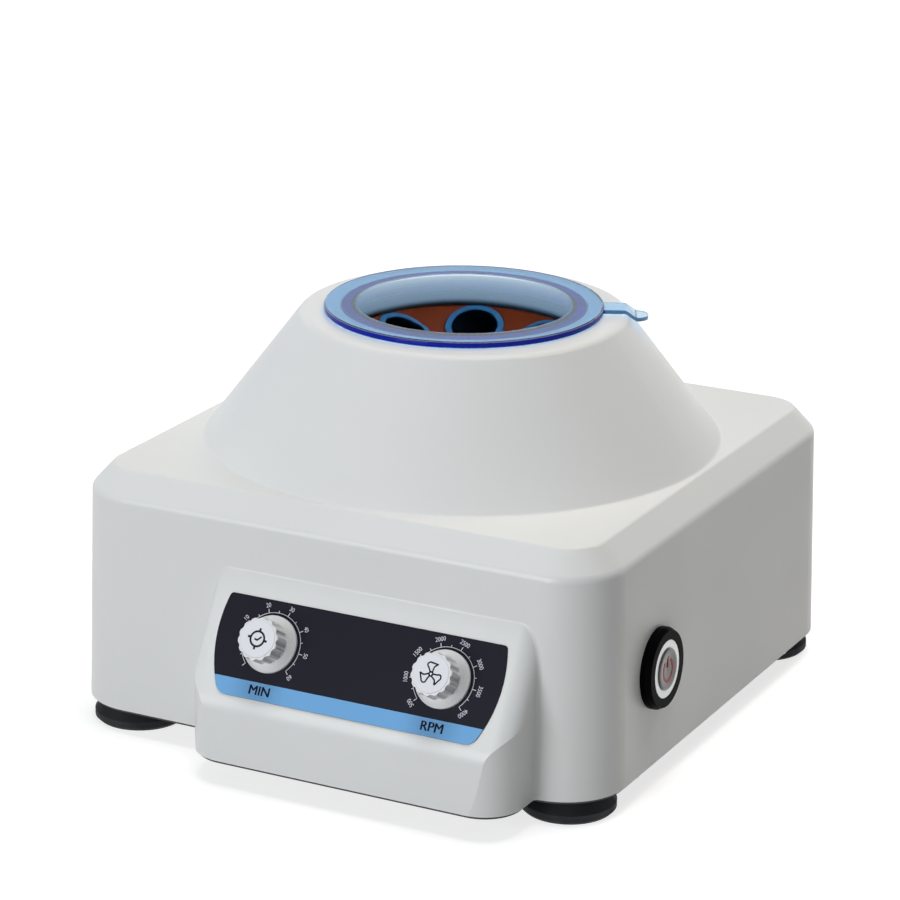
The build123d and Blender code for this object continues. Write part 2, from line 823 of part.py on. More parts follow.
def make_rotor_head():
    """The rotor: a dish with six tilted holes, a conical skirt, a hub boss and radial webs."""
    rim = dish_point(rotor_plate_outer, 0)
    skirt_end = dish_point(rotor_plate_outer, rotor_skirt_length)
    skirt_inner_end = dish_point(rotor_plate_outer - rotor_skirt_wall, rotor_skirt_length)
    skirt_inner_top = dish_point(rotor_plate_outer - rotor_skirt_wall, rotor_plate_thickness)
    reach = (sleeve_circle + (sleeve_rim_thickness + rotor_plate_thickness) * sin(tilt) - rotor_boss_radius)
    boss_meets = dish_point(-reach / cos(tilt), rotor_plate_thickness)
    section = make_face(Polyline([(r, 0, z) for r, z in [
        (0, hub_top), (hub_radius, hub_top), rim, skirt_end, skirt_inner_end, skirt_inner_top,
        boss_meets, (rotor_boss_radius, rotor_boss_bottom), (0, rotor_boss_bottom),
    ]], close=True))
    crest = [v for v in section.vertices() if abs(v.X - rim[0]) < near and abs(v.Z - rim[1]) < near]
    section = fillet(crest, rotor_rim_round)
    head = revolve(section, Axis.Z)
    inset = rotor_skirt_wall / 2
    web_top = dish_point(rotor_plate_outer - inset, inset)
    web_low = dish_point(rotor_plate_outer - inset, rotor_web_share * rotor_skirt_length)
    web = make_face(Polyline([(r, 0, z) for r, z in [
        (rotor_boss_radius - overrun, boss_meets[1] + 2 * overrun), web_top, web_low,
        (rotor_boss_radius - overrun, rotor_boss_bottom + overrun),
    ]], close=True))
    web = extrude(web, rotor_web_thickness / 2, dir=(0, 1, 0), both=True)
    for shape in around(web, tube_count, sleeve_phase + 180 / tube_count):
        head += shape
    hole = sleeve_plane * Cylinder(sleeve_radius + sleeve_hole_clearance, 6 * rotor_plate_thickness)
    seat = disc(sleeve_rim_radius + sleeve_seat_gap, -sleeve_rim_thickness, rotor_skirt_length)
    seat = sleeve_plane * seat
    for shape in around(hole, tube_count, sleeve_phase) + around(seat, tube_count, sleeve_phase):
        head -= shape
    return head - disc(shaft_radius, rotor_boss_bottom - overrun, hub_top + overrun)


def make_tube_sleeve():
    """One sleeve, in its own frame with its mouth at zero and its axis along Z."""
    floor = -sleeve_depth - cushion_thickness
    body = Pos(0, 0, floor - sleeve_floor) * Cylinder(
        sleeve_radius, -floor + sleeve_floor, align=(Align.CENTER, Align.CENTER, Align.MIN))
    body = fillet(body.edges().sort_by(Axis.Z)[0], sleeve_end_round)
    rim = disc(sleeve_rim_radius, -sleeve_rim_thickness, 0)
    rim = fillet(rim.edges().sort_by(Axis.Z)[-1], sleeve_rim_round)
    sleeve = body + rim - disc(sleeve_bore_radius, -sleeve_depth, overrun)
    sleeve -= disc(cushion_radius, floor, overrun)
    mouth = [e for e in flat_edges(sleeve, 0) if is_arc(e, sleeve_bore_radius)]
    return fillet(mouth, sleeve_mouth_round)


def make_cushion():
    """The rubber pad at the bottom of a sleeve, dished for a round tube end."""
    pad = disc(cushion_radius, -sleeve_depth - cushion_thickness, -sleeve_depth)
    ball = Pos(0, 0, -sleeve_depth + cushion_dish_radius - cushion_dish_depth) * Sphere(cushion_dish_radius)
    return pad - ball


def make_rotor_nut():
    """A domed nut and its washer, on top of the hub."""
    nut = hexagon(rotor_nut_radius, washer_top, nut_top)
    crown = disc(rotor_nut_radius, washer_top - overrun, nut_top)
    crown = chamfer(crown.edges().sort_by(Axis.Z)[-1], rotor_nut_chamfer)
    nut = nut & crown
    nut += ring(rotor_washer_radius, shaft_radius, hub_top, washer_top)
    return nut - disc(shaft_radius, hub_top - overrun, nut_top + overrun)


def make_motor_shaft():
    """The steel shaft from the lower bearing up through the rotor nut."""
    shaft = disc(shaft_radius, shaft_bottom, shaft_top)
    return chamfer(shaft.edges().filter_by(GeomType.CIRCLE), shaft_chamfer)


# Motor

stack_top = stack_bottom + stack_height
commutator_bottom = stack_top + commutator_gap
brush_height = commutator_bottom + commutator_height / 2
lower_bearing_bottom = motor_base + bearing_pocket_floor
upper_bearing_top = motor_top - cap_shaft_gap


def make_motor_plate():
    """The steel plate that carries the motor on the dampers."""
    outline = RectangleRounded(motor_plate_size, motor_plate_size, motor_plate_corner)
    plate = Pos(0, 0, motor_plate_bottom) * extrude(outline, motor_plate_thickness)
    plate -= disc(bearing_radius + motor_plate_bore_gap, motor_plate_bottom - overrun, motor_base + overrun)
    for x, y in damper_places:
        plate -= disc(damper_bolt_radius, motor_plate_bottom - overrun, motor_base + overrun, x, y)
    for x, y in motor_screw_places:
        plate -= disc(motor_screw_radius, motor_plate_bottom - overrun, motor_base + overrun, x, y)
    return plate


motor_screw_places = [(motor_screw_circle * cos(radians(a)), motor_screw_circle * sin(radians(a)))
                      for a in (90 + i * 360 / motor_screw_count for i in range(motor_screw_count))]


def make_motor_dampers():
    """Waisted rubber bushes between the base plate and the motor plate."""
    middle = plate_top + damper_height / 2
    section = make_face([
        Line((damper_bolt_radius, 0, plate_top), (damper_radius, 0, plate_top)),
        ThreePointArc((damper_radius, 0, plate_top), (damper_waist_radius, 0, middle),
                      (damper_radius, 0, motor_plate_bottom)),
        Line((damper_radius, 0, motor_plate_bottom), (damper_bolt_radius, 0, motor_plate_bottom)),
        Line((damper_bolt_radius, 0, motor_plate_bottom), (damper_bolt_radius, 0, plate_top)),
    ])
    damper = revolve(section, Axis.Z)
    return [Pos(x, y, 0) * damper for x, y in damper_places]


def make_damper_bolts():
    """Bolts down through the motor plate and the dampers into the base plate."""
    length = motor_base - foot_height
    bolt = Rot(180, 0, 0) * pan_screw(
        damper_bolt_radius, length, damper_bolt_head_radius, damper_bolt_head_height)
    return [Pos(x, y, motor_base) * bolt for x, y in damper_places]


def make_motor_screws():
    """Screws from under the motor plate into the lower cap."""
    length = motor_plate_thickness + motor_screw_reach
    screw = pan_screw(motor_screw_radius, length, motor_screw_head_radius, motor_screw_head_height)
    return [Pos(x, y, motor_plate_bottom) * screw for x, y in motor_screw_places]


def make_lower_cap():
    """The motor's lower end cap with its bearing pocket."""
    cap = disc(motor_radius, motor_base, can_bottom)
    cap = fillet(cap.edges().sort_by(Axis.Z)[0], lower_cap_round)
    cap -= disc(motor_radius - motor_cap_wall, motor_base + motor_cap_wall, can_bottom + overrun)
    cap += disc(bearing_radius + motor_cap_wall, motor_base, lower_bearing_bottom + bearing_width)
    screw_boss_top = motor_base + motor_screw_reach + bearing_pocket_floor
    for x, y in motor_screw_places:
        cap += disc(2 * motor_screw_radius, motor_base, screw_boss_top, x, y)
        cap -= disc(motor_screw_radius, motor_base - overrun, motor_base + motor_screw_reach, x, y)
    cap -= disc(bearing_radius, lower_bearing_bottom, can_bottom + overrun)
    return cap - disc(shaft_radius + cap_shaft_gap, motor_base - overrun, can_bottom)


def make_motor_can():
    """The motor's steel tube, with holes for the brush holders."""
    can = ring(motor_radius, motor_radius - motor_wall, can_bottom, can_top)
    return can - Pos(0, 0, brush_height) * Rot(0, 90, 0) * Cylinder(brush_holder_radius, 3 * motor_radius)


def make_upper_cap():
    """The motor's upper end cap, with the boss that the boot seals on."""
    cap = disc(motor_radius, can_top, motor_top)
    cap = fillet(cap.edges().sort_by(Axis.Z)[-1], upper_cap_round)
    cap -= disc(motor_radius - motor_cap_wall, can_top - overrun, motor_top - motor_cap_wall)
    cap += disc(upper_boss_radius, upper_bearing_top - bearing_width, motor_top + upper_boss_height)
    cap -= disc(bearing_radius, upper_bearing_top - bearing_width - overrun, upper_bearing_top)
    return cap - disc(shaft_radius + cap_shaft_gap, can_top, motor_top + upper_boss_height + overrun)


def make_bearing(bottom):
    """A shielded ball bearing, closed, with a groove on each face."""
    bore = shaft_radius + bearing_running_clearance
    bearing = ring(bearing_radius, bore, bottom, bottom + bearing_width)
    middle = (bearing_radius + bore) / 2
    for low in (bottom, bottom + bearing_width):
        bearing -= ring(middle + shield_groove_half, middle - shield_groove_half,
                        low - shield_groove_depth, low + shield_groove_depth)
    return bearing


def make_stator():
    """The laminated field stack with four winding pockets."""
    stack = ring(motor_radius - motor_wall, stator_bore, stack_bottom, stack_top)
    pocket = Pos(stator_bore, 0, stack_bottom + stack_height / 2) * Box(
        field_pocket_depth, field_pocket_width, stack_height + 2 * overrun)
    for shape in around(pocket, field_pole_count, 180 / field_pole_count):
        stack -= shape
    return stack


def make_armature():
    """The slotted armature on the shaft."""
    radius = stator_bore - air_gap
    core = ring(radius, shaft_radius, stack_bottom, stack_top)
    slot = Pos(radius, 0, stack_bottom + stack_height / 2) * Box(
        2 * armature_slot_depth, armature_slot_width, stack_height + 2 * overrun)
    for shape in around(slot, armature_slot_count):
        core -= shape
    return core


def make_commutator():
    """The commutator, with a groove between its bars."""
    drum = ring(commutator_radius, shaft_radius, commutator_bottom, commutator_bottom + commutator_height)
    groove = Pos(commutator_radius, 0, brush_height) * Box(
        2 * commutator_groove_depth, commutator_groove_width, commutator_height + 2 * overrun)
    for shape in around(groove, armature_slot_count):
        drum -= shape
    return drum


def make_cooling_fan():
    """The fan below the armature: a disc with radial blades."""
    disc_bottom = fan_bottom + fan_height - fan_disc_thickness
    fan = disc(fan_radius, disc_bottom, disc_bottom + fan_disc_thickness)
    fan += disc(fan_hub_radius, fan_bottom, disc_bottom + overrun)
    reach = fan_radius - fan_hub_radius
    blade = Pos(fan_hub_radius - overrun, 0, fan_bottom) * Box(
        reach, fan_blade_thickness, fan_height - fan_disc_thickness / 2,
        align=(Align.MIN, Align.CENTER, Align.MIN))
    for shape in around(blade, fan_blade_count):
        fan += shape
    return fan - disc(shaft_radius, fan_bottom - overrun, fan_bottom + fan_height + overrun)


def brush_pair(shape):
    """A shape along X and its mirror twin, at the height of the brushes."""
    return [Rot(0, 0, a) * Pos(0, 0, brush_height) * shape for a in (0, 180)]


def bar_x(radius, start, end):
    """A round bar along X."""
    return Pos(start, 0, 0) * Rot(0, 90, 0) * Cylinder(
        radius, end - start, align=(Align.CENTER, Align.CENTER, Align.MIN))


def make_brush_holders():
    """Insulating tubes for the brushes, each with its screw cap."""
    start = commutator_radius + overrun
    end = motor_radius
    holder = bar_x(brush_holder_radius, start, end + overrun) + bar_x(
        brush_cap_radius, end + brush_cap_gap, end + brush_cap_gap + brush_cap_thickness)
    holder -= bar_x(brush_radius + brush_slip, start - overrun, end - 2 * overrun)
    return brush_pair(holder)


def make_carbon_brushes():
    """Carbon brushes that end a hair from the commutator."""
    start = commutator_radius + brush_gap
    return brush_pair(bar_x(brush_radius, start, start + brush_length))


def make_shaft_boot():
    """The rubber boot that closes the tower hole round the motor boss."""
    collar_top = tower_top_height
    collar_bottom = motor_top + overrun
    inner = upper_boss_radius + boot_boss_gap
    outer = tower_hole_radius - boot_collar_slip
    lip = shaft_radius + boot_lip_gap
    roof = collar_top + boot_roof_lift
    section = [
        (inner, collar_bottom), (outer, collar_bottom), (outer, collar_top),
        (boot_flange_radius, collar_top), (boot_flange_radius, collar_top + boot_thickness),
        (lip, collar_top + boot_thickness), (lip, roof), (inner, roof),
    ]
    return turned(section)


# Control pod: label, dials and what stands behind them

def make_control_label():
    """The printed sheet on the pod face, with bowed ends."""
    low = label_low_half_width + label_low_corner_reach
    top = Line((-label_top_half_width, label_top), (label_top_half_width, label_top))
    right = ThreePointArc((label_top_half_width, label_top), (label_mid_half_width, 0),
                          (low, label_bottom))
    bottom = Line((low, label_bottom), (-low, label_bottom))
    left = ThreePointArc((-low, label_bottom), (-label_mid_half_width, 0),
                         (-label_top_half_width, label_top))
    sheet = make_face([top, right, bottom, left])
    sheet = fillet(sheet.vertices().sort_by(Axis.Y)[:2], label_low_corner_radius)
    sheet = fillet(sheet.vertices().sort_by(Axis.Y)[-2:], label_top_corner_radius)
    sheet = extrude(sheet, label_thickness)
    for side in (-1, 1):
        sheet -= Pos(side * dial_offset, dial_along_face, 0) * Cylinder(
            bush_radius + bush_clearance, 4 * label_thickness)
    return label_plane * sheet


knob_base = label_thickness + knob_label_gap


def make_knob():
    """A fluted knob with a round skirt, hollow below and bored for its shaft."""
    grip_foot = knob_base + knob_cone_height
    section = make_face(Polyline([
        (0, 0, knob_base),
        (knob_skirt_radius, 0, knob_base),
        (knob_skirt_radius, 0, knob_base + knob_skirt_edge),
        (knob_grip_radius + knob_cone_foot, 0, grip_foot),
        (knob_grip_radius, 0, grip_foot + knob_neck_height),
        (knob_grip_radius, 0, knob_base + knob_height),
        (0, 0, knob_base + knob_height),
    ], close=True))
    soft = [v for v in section.vertices() if v.X > knob_grip_radius + near and v.Z > knob_base + near]
    section = fillet(soft, knob_soft_round)
    top = [v for v in section.vertices() if v.X > near and v.Z > knob_base + knob_height - near]
    section = fillet(top, knob_edge_round)
    knob = revolve(section, Axis.Z)
    flute_bottom = grip_foot + knob_flute_start
    flute = disc(knob_flute_radius, flute_bottom, knob_base + knob_height + overrun,
                 x=knob_grip_radius - knob_flute_depth + knob_flute_radius)
    for shape in around(flute, knob_flute_count):
        knob -= shape
    knob -= disc(knob_hollow_radius, knob_base - overrun, knob_base + knob_hollow_depth)
    knob -= disc(dial_shaft_radius, knob_base, knob_base + knob_hollow_depth + dial_shaft_knob_depth)
    knob_top = knob_base + knob_height
    return knob - disc(knob_cap_radius, knob_top - knob_cap_thickness, knob_top + overrun)


def make_knob_cap():
    """The flat inlay in the top of a knob."""
    low = knob_base + knob_height - knob_cap_thickness
    cap = disc(knob_cap_radius - knob_cap_slip, low, knob_base + knob_height + knob_cap_projection)
    return fillet(cap.edges().sort_by(Axis.Z)[-1], knob_cap_round)


def make_dial_shaft(depth):
    """The shaft from inside a timer or potentiometer up into its knob."""
    top = knob_base + knob_hollow_depth + dial_shaft_knob_depth
    return disc(dial_shaft_radius, -housing_wall - depth, top)


def threaded_bush():
    """The bush that passes through the panel, not yet bored."""
    return disc(bush_radius, -housing_wall - overrun, label_thickness + bush_height)


def bored_for_shaft(shape, depth):
    """The same shape with a running bore for the dial shaft."""
    bore = dial_shaft_radius + dial_shaft_clearance
    bottom = -housing_wall - depth - dial_shaft_end_gap
    return shape - disc(bore, bottom, label_thickness + bush_height + overrun)


def make_timer(shaft_depth):
    """The clockwork timer: a square case with its threaded bush."""
    outline = RectangleRounded(timer_size, timer_size, timer_corner)
    case = Pos(0, 0, -housing_wall - timer_depth) * extrude(outline, timer_depth)
    return bored_for_shaft(case + threaded_bush(), shaft_depth)


def make_potentiometer(shaft_depth):
    """The speed potentiometer: a round case, three tags and its threaded bush."""
    case = disc(pot_radius, -housing_wall - pot_depth, -housing_wall)
    for step in (-1, 0, 1):
        case += Pos(pot_tag_pitch * step, -pot_radius, -housing_wall - pot_depth / 2) * Box(
            pot_tag_width, 2 * pot_tag_length, pot_tag_thickness)
    return bored_for_shaft(case + threaded_bush(), shaft_depth)


def make_panel_nut():
    """The nut on a bush, in front of the label and inside the knob."""
    nut = hexagon(panel_nut_radius, label_thickness, label_thickness + panel_nut_height)
    return nut - disc(bush_radius, 0, label_thickness + panel_nut_height + overrun)


# Power switch

def make_switch_bezel():
    """The bezel with its threaded barrel through the wall."""
    front = switch_bezel_depth
    bezel = turned([
        (0, -switch_barrel_length), (switch_barrel_radius, -switch_barrel_length),
        (switch_barrel_radius, 0), (switch_bezel_radius, 0),
        (switch_bezel_radius, front - 2 * switch_bezel_round),
        (switch_front_radius, front), (0, front),
    ])
    bezel = fillet(flat_edges(bezel, front - 2 * switch_bezel_round), switch_bezel_round)
    bezel -= disc(switch_ring_radius, front - switch_ring_depth, front + overrun)
    bezel -= disc(switch_button_radius + switch_button_gap, -switch_barrel_length - overrun, front)
    barrel_bore = switch_barrel_radius - switch_barrel_wall
    return bezel - disc(barrel_bore, -switch_barrel_length - overrun, -switch_face_thickness)


def make_switch_ring():
    """The white light ring between bezel and button."""
    front = switch_bezel_depth
    band = ring(switch_ring_radius, switch_button_radius + switch_button_gap,
                front - switch_ring_depth, front - switch_ring_recess)
    return fillet(flat_edges(band, front - switch_ring_recess), switch_ring_round)


def make_power_button():
    """The round button, slightly dished."""
    top = switch_bezel_depth + switch_button_proud
    button = disc(switch_button_radius, top - switch_button_length, top)
    button = fillet(button.edges().sort_by(Axis.Z)[-1], switch_button_round)
    return button - Pos(0, 0, top + switch_button_dish - switch_dish_depth) * Sphere(switch_button_dish)


def make_switch_nut():
    """The round nut behind the wall."""
    nut = ring(switch_nut_radius, switch_barrel_radius, -housing_wall - switch_nut_height, -housing_wall)
    notch = Pos(switch_nut_radius, 0, -housing_wall - switch_nut_height / 2) * Box(
        2 * switch_nut_notch_depth, switch_nut_notch_width, switch_nut_height + 2 * overrun)
    for shape in around(notch, switch_nut_notch_count):
        nut -= shape
    return nut


def make_switch_block():
    """The contact block in the barrel, with its terminals."""
    top = switch_bezel_depth + switch_button_proud - switch_button_length - switch_travel - switch_block_gap
    block = disc(switch_block_radius, top - switch_block_length, top)
    for side in (-1, 1):
        block += Pos(side * switch_block_radius / 2, 0, top - switch_block_length) * Box(
            switch_terminal_thickness, switch_terminal_size, switch_terminal_length,
            align=(Align.CENTER, Align.CENTER, Align.MAX))
    return block


# Mains inlet

inlet_front = inlet_flange_thickness


def make_mains_inlet():
    """The appliance inlet: flange, body and a socket with two cut corners."""
    outline = RectangleRounded(inlet_flange_width, inlet_flange_height, inlet_flange_corner)
    flange = extrude(outline, inlet_front)
    inlet = flange + Box(inlet_body_width, inlet_body_height, inlet_body_depth,
                         align=(Align.CENTER, Align.CENTER, Align.MAX))
    opening = Rectangle(inlet_socket_width, inlet_socket_height)
    opening = chamfer(opening.vertices().sort_by(Axis.Y)[-2:], inlet_socket_chamfer)
    inlet -= Pos(0, 0, inlet_front - inlet_socket_depth) * extrude(opening, inlet_socket_depth + overrun)
    for side in (-1, 1):
        inlet -= Pos(side * inlet_screw_spacing / 2, 0, 0) * Cylinder(inlet_screw_radius, 4 * inlet_front)
    return inlet


def make_inlet_pins():
    """Line, neutral and ground pins standing in the socket."""
    low = inlet_front - inlet_socket_depth
    pin = Pos(0, 0, low) * Box(inlet_pin_width, inlet_pin_height, inlet_pin_length,
                               align=(Align.CENTER, Align.CENTER, Align.MIN))
    places = [(-inlet_pin_spacing / 2, -inlet_pin_drop), (inlet_pin_spacing / 2, -inlet_pin_drop)]
    places.append((0, inlet_ground_lift))
    return [Pos(x, y, 0) * pin for x, y in places]


def make_inlet_screws():
    """Two screws that hold the inlet's flange on the rear wall."""
    screw = Rot(180, 0, 0) * pan_screw(
        inlet_screw_radius, inlet_screw_length, inlet_screw_head_radius, inlet_screw_head_height)
    return [Pos(side * inlet_screw_spacing / 2, 0, inlet_front) * screw for side in (-1, 1)]


# Control board

board_bottom = plate_top + board_standoff_height
board_top = board_bottom + board_thickness
board_holes = corners(board_width / 2 - board_hole_inset, board_length / 2 - board_hole_inset)


def make_circuit_board():
    """The speed control board."""
    outline = RectangleRounded(board_width, board_length, board_corner)
    board = Pos(board_x, 0, board_bottom) * extrude(outline, board_thickness)
    for x, y in board_holes:
        board -= disc(board_hole_radius, board_bottom - overrun, board_top + overrun, board_x + x, y)
    return board


def make_board_standoffs():
    """Standoffs with a pin through each board hole."""
    post = disc(board_standoff_radius, plate_top, board_bottom)
    post += disc(board_hole_radius, board_bottom - overrun, board_top + board_pin_projection)
    return [Pos(board_x + x, y, 0) * post for x, y in board_holes]


def make_transformer():
    """A small transformer: a laminated core round one winding."""
    core = Pos(board_x, transformer_y, board_top) * Box(
        transformer_size, transformer_depth, transformer_height,
        align=(Align.CENTER, Align.CENTER, Align.MIN))
    window = Pos(board_x, transformer_y, board_top + transformer_height / 2) * Box(
        transformer_window_width, transformer_size, transformer_window_height)
    winding = Pos(board_x, transformer_y, board_top + transformer_height / 2) * Cylinder(
        transformer_winding_radius, transformer_window_height)
    return core - window + winding


def make_capacitors():
    """Two round capacitors on the board."""
    can = disc(capacitor_radius, board_top, board_top + capacitor_height)
    can = fillet(can.edges().sort_by(Axis.Z)[-1], capacitor_round)
    return [Pos(board_x + side * capacitor_pitch / 2, capacitor_y, 0) * can for side in (-1, 1)]


def make_heat_sink():
    """A finned heat sink for the speed control."""
    base = Pos(board_x, sink_y, board_top) * Box(
        sink_width, sink_base, sink_height, align=(Align.CENTER, Align.MAX, Align.MIN))
    pitch = (sink_width - sink_fin_thickness) / (sink_fin_count - 1)
    for i in range(sink_fin_count):
        x = board_x - (sink_width - sink_fin_thickness) / 2 + i * pitch
        base += Pos(x, sink_y - sink_fin_root, board_top) * Box(
            sink_fin_thickness, sink_depth, sink_height, align=(Align.CENTER, Align.MIN, Align.MIN))
    return base


def make_parts():
    """Every piece under the name of its node."""
    parts = {"upper_housing": make_upper_housing(), "base_plate": make_base_plate()}
    parts["rubber_feet"] = make_feet()
    parts["foot_screws"] = make_foot_screws()
    parts["foot_nuts"] = make_foot_nuts()
    parts["housing_screws"] = make_housing_screws()
    parts["lid"] = make_lid()
    parts["lid_gasket"] = make_lid_gasket()
    parts["chamber_bowl"] = make_chamber_bowl()
    parts["bowl_seal"] = make_bowl_seal()
    parts["bowl_posts"] = make_bowl_posts()
    parts["bowl_screws"] = make_bowl_screws()
    parts["shaft_boot"] = make_shaft_boot()
    parts["rotor_head"] = make_rotor_head()
    parts["rotor_nut"] = make_rotor_nut()
    sleeve = sleeve_plane * make_tube_sleeve()
    for number, shape in enumerate(around(sleeve, tube_count, sleeve_phase), start=1):
        parts[f"tube_sleeve_{number}"] = shape
    parts["sleeve_cushions"] = around(sleeve_plane * make_cushion(), tube_count, sleeve_phase)
    parts["motor_shaft"] = make_motor_shaft()
    parts["armature"] = make_armature()
    parts["commutator"] = make_commutator()
    parts["cooling_fan"] = make_cooling_fan()
    parts["motor_plate"] = make_motor_plate()
    parts["motor_dampers"] = make_motor_dampers()
    parts["motor_bolts"] = make_damper_bolts() + make_motor_screws()
    parts["motor_lower_cap"] = make_lower_cap()
    parts["motor_can"] = make_motor_can()
    parts["motor_upper_cap"] = make_upper_cap()
    parts["lower_bearing"] = make_bearing(lower_bearing_bottom)
    parts["upper_bearing"] = make_bearing(upper_bearing_top - bearing_width)
    parts["field_stator"] = make_stator()
    parts["brush_holders"] = make_brush_holders()
    parts["carbon_brushes"] = make_carbon_brushes()
    parts["control_label"] = make_control_label()
    timer_shaft_depth = timer_depth / 2
    pot_shaft_depth = pot_depth / 2
    time_plane = dial_plane(-1)
    speed_plane = dial_plane(1)
    parts["timer"] = time_plane * make_timer(timer_shaft_depth)
    parts["speed_potentiometer"] = speed_plane * make_potentiometer(pot_shaft_depth)
    parts["panel_nuts"] = [time_plane * make_panel_nut(), speed_plane * make_panel_nut()]
    dials = ("time", time_plane, timer_shaft_depth), ("speed", speed_plane, pot_shaft_depth)
    for name, plane, depth in dials:
        parts[f"{name}_knob"] = plane * make_knob()
        parts[f"{name}_knob_cap"] = plane * make_knob_cap()
        parts[f"{name}_shaft"] = plane * make_dial_shaft(depth)
    parts["switch_bezel"] = switch_plane * make_switch_bezel()
    parts["switch_light_ring"] = switch_plane * make_switch_ring()
    parts["power_button"] = switch_plane * make_power_button()
    parts["switch_nut"] = switch_plane * make_switch_nut()
    parts["switch_block"] = switch_plane * make_switch_block()
    parts["mains_inlet"] = inlet_plane * make_mains_inlet()
    parts["inlet_pins"] = [inlet_plane * pin for pin in make_inlet_pins()]
    parts["inlet_screws"] = [inlet_plane * screw for screw in make_inlet_screws()]
    parts["circuit_board"] = make_circuit_board()
    parts["board_standoffs"] = make_board_standoffs()
    parts["transformer"] = make_transformer()
    parts["capacitors"] = make_capacitors()
    parts["heat_sink"] = make_heat_sink()
    return parts


os.makedirs("parts", exist_ok=True)
for name, shape in make_parts().items():
    solid = Compound(children=shape) if isinstance(shape, list) else shape
    export_step(solid, f"parts/{name}.step")
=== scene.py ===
from math import cos, hypot, radians, sin, tan

import bmesh
import bpy
from mathutils import Matrix, Vector


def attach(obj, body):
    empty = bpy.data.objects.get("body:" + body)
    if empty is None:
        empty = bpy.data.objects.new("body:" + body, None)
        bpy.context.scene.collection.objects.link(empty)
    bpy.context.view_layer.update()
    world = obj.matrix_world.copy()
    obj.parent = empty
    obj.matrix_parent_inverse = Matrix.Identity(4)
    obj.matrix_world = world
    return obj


# Materials, printed marks, light and camera for a low-speed bench centrifuge. Blender's unit is
# the metre; sizes of the object are written in millimetres and turned into metres by MM.

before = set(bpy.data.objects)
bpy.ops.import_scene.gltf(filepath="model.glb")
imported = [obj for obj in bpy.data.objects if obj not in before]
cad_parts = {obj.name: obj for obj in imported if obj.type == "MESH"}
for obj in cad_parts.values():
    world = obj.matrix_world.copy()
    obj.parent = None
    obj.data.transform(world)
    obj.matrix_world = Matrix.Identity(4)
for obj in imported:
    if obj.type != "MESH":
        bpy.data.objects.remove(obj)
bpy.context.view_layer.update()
MM = 0.001
WHITE = (1.0, 1.0, 1.0)


# Sizes that the printed marks and the lid's colours share with the solids

EDGE_HEIGHT = 12.0
WALL_HALF = 135.0
WALL_DRAFT = radians(1.47)
POD_CENTER_X = 24.8
FACE_TILT = radians(30.0)
FACE_SETOUT = 12.0
FACE_HEIGHT = 55.0
LABEL_THICKNESS = 0.4
LABEL_TOP = 17.4
LABEL_BOTTOM = -27.8
LABEL_TOP_HALF = 68.4
LABEL_MID_HALF = 70.6
LABEL_LOW_HALF = 62.9
LABEL_CORNER = 6.2
DIAL_OFFSET = 42.8
DIAL_Y = -2.3
KNOB_GAP = 0.4
KNOB_HEIGHT = 13.2
CAP_PROJECTION = 0.15
SWITCH_SETBACK = 63.5
SWITCH_HEIGHT = 44.7
BUTTON_FRONT = 5.6
BUTTON_DISH = 0.42
LID_RADIUS = 64.9


# Material nodes

def put(node, values):
    """Inputs by name or number: a socket is linked and any other value is set."""
    for key, value in values.items():
        if isinstance(value, bpy.types.NodeSocket):
            node.id_data.links.new(value, node.inputs[key])
        else:
            node.inputs[key].default_value = value


def add(tree, kind, values, operation=None):
    """A new node with its inputs, and its operation where it has one."""
    node = tree.nodes.new(kind)
    if operation:
        node.operation = operation
    put(node, values)
    return node


def new_tree(name):
    """A new material, its node tree and its Principled shader."""
    material = bpy.data.materials.new(name)
    material.use_nodes = True
    tree = material.node_tree
    return material, tree, tree.nodes["Principled BSDF"]


def noise(tree, scale, detail=3.0, stretch=None):
    """Noise in the object's own space; scale is in cells per metre."""
    vector = tree.nodes.new("ShaderNodeTexCoord").outputs["Object"]
    if stretch:
        mapping = add(tree, "ShaderNodeMapping", {"Vector": vector, "Scale": stretch})
        vector = mapping.outputs["Vector"]
    texture = add(tree, "ShaderNodeTexNoise", {"Vector": vector, "Scale": scale, "Detail": detail})
    return texture.outputs["Fac"]


def ramp(tree, value, start, end, low=0.0, high=1.0):
    """A value that runs from low to high between two limits of another."""
    limits = {"From Min": start, "From Max": end, "To Min": low, "To Max": high}
    return add(tree, "ShaderNodeMapRange", {"Value": value, **limits}).outputs["Result"]


def between(tree, fac, low, high):
    """A value between two values."""
    return ramp(tree, fac, 0.0, 1.0, low, high)


def blend_color(tree, fac, first, second):
    """A colour between two colours."""
    node = tree.nodes.new("ShaderNodeMix")
    node.data_type = "RGBA"
    put(node, {"Factor": fac})
    for socket, color in zip([s for s in node.inputs if s.type == "RGBA"], (first, second)):
        socket.default_value = (*color, 1.0)
    return [s for s in node.outputs if s.type == "RGBA"][0]


def combine(tree, operation, first, second=0.0):
    """One arithmetic step on two values."""
    return add(tree, "ShaderNodeMath", {0: first, 1: second}, operation).outputs[0]


def length(tree, vector):
    """The length of a vector."""
    return add(tree, "ShaderNodeVectorMath", {0: vector}, "LENGTH").outputs["Value"]


def shade(color, factor):
    """A colour made lighter or darker."""
    return tuple(min(1.0, c * factor) for c in color)


NOISE_LOW = 0.3
NOISE_HIGH = 0.7


def dress(tree, shader, color, *, clouds, shades, patches, gloss, grain, relief, height):
    """Colour, roughness and relief from three noises; shades are two factors of the colour, gloss
    is two values of roughness, and height is in metres."""
    bump = add(tree, "ShaderNodeBump", {"Height": grain, "Strength": relief, "Distance": height})
    put(shader, {
        "Base Color": blend_color(tree, clouds, *(shade(color, factor) for factor in shades)),
        "Roughness": ramp(tree, patches, NOISE_LOW, NOISE_HIGH, *gloss),
        "Normal": bump.outputs["Normal"]})


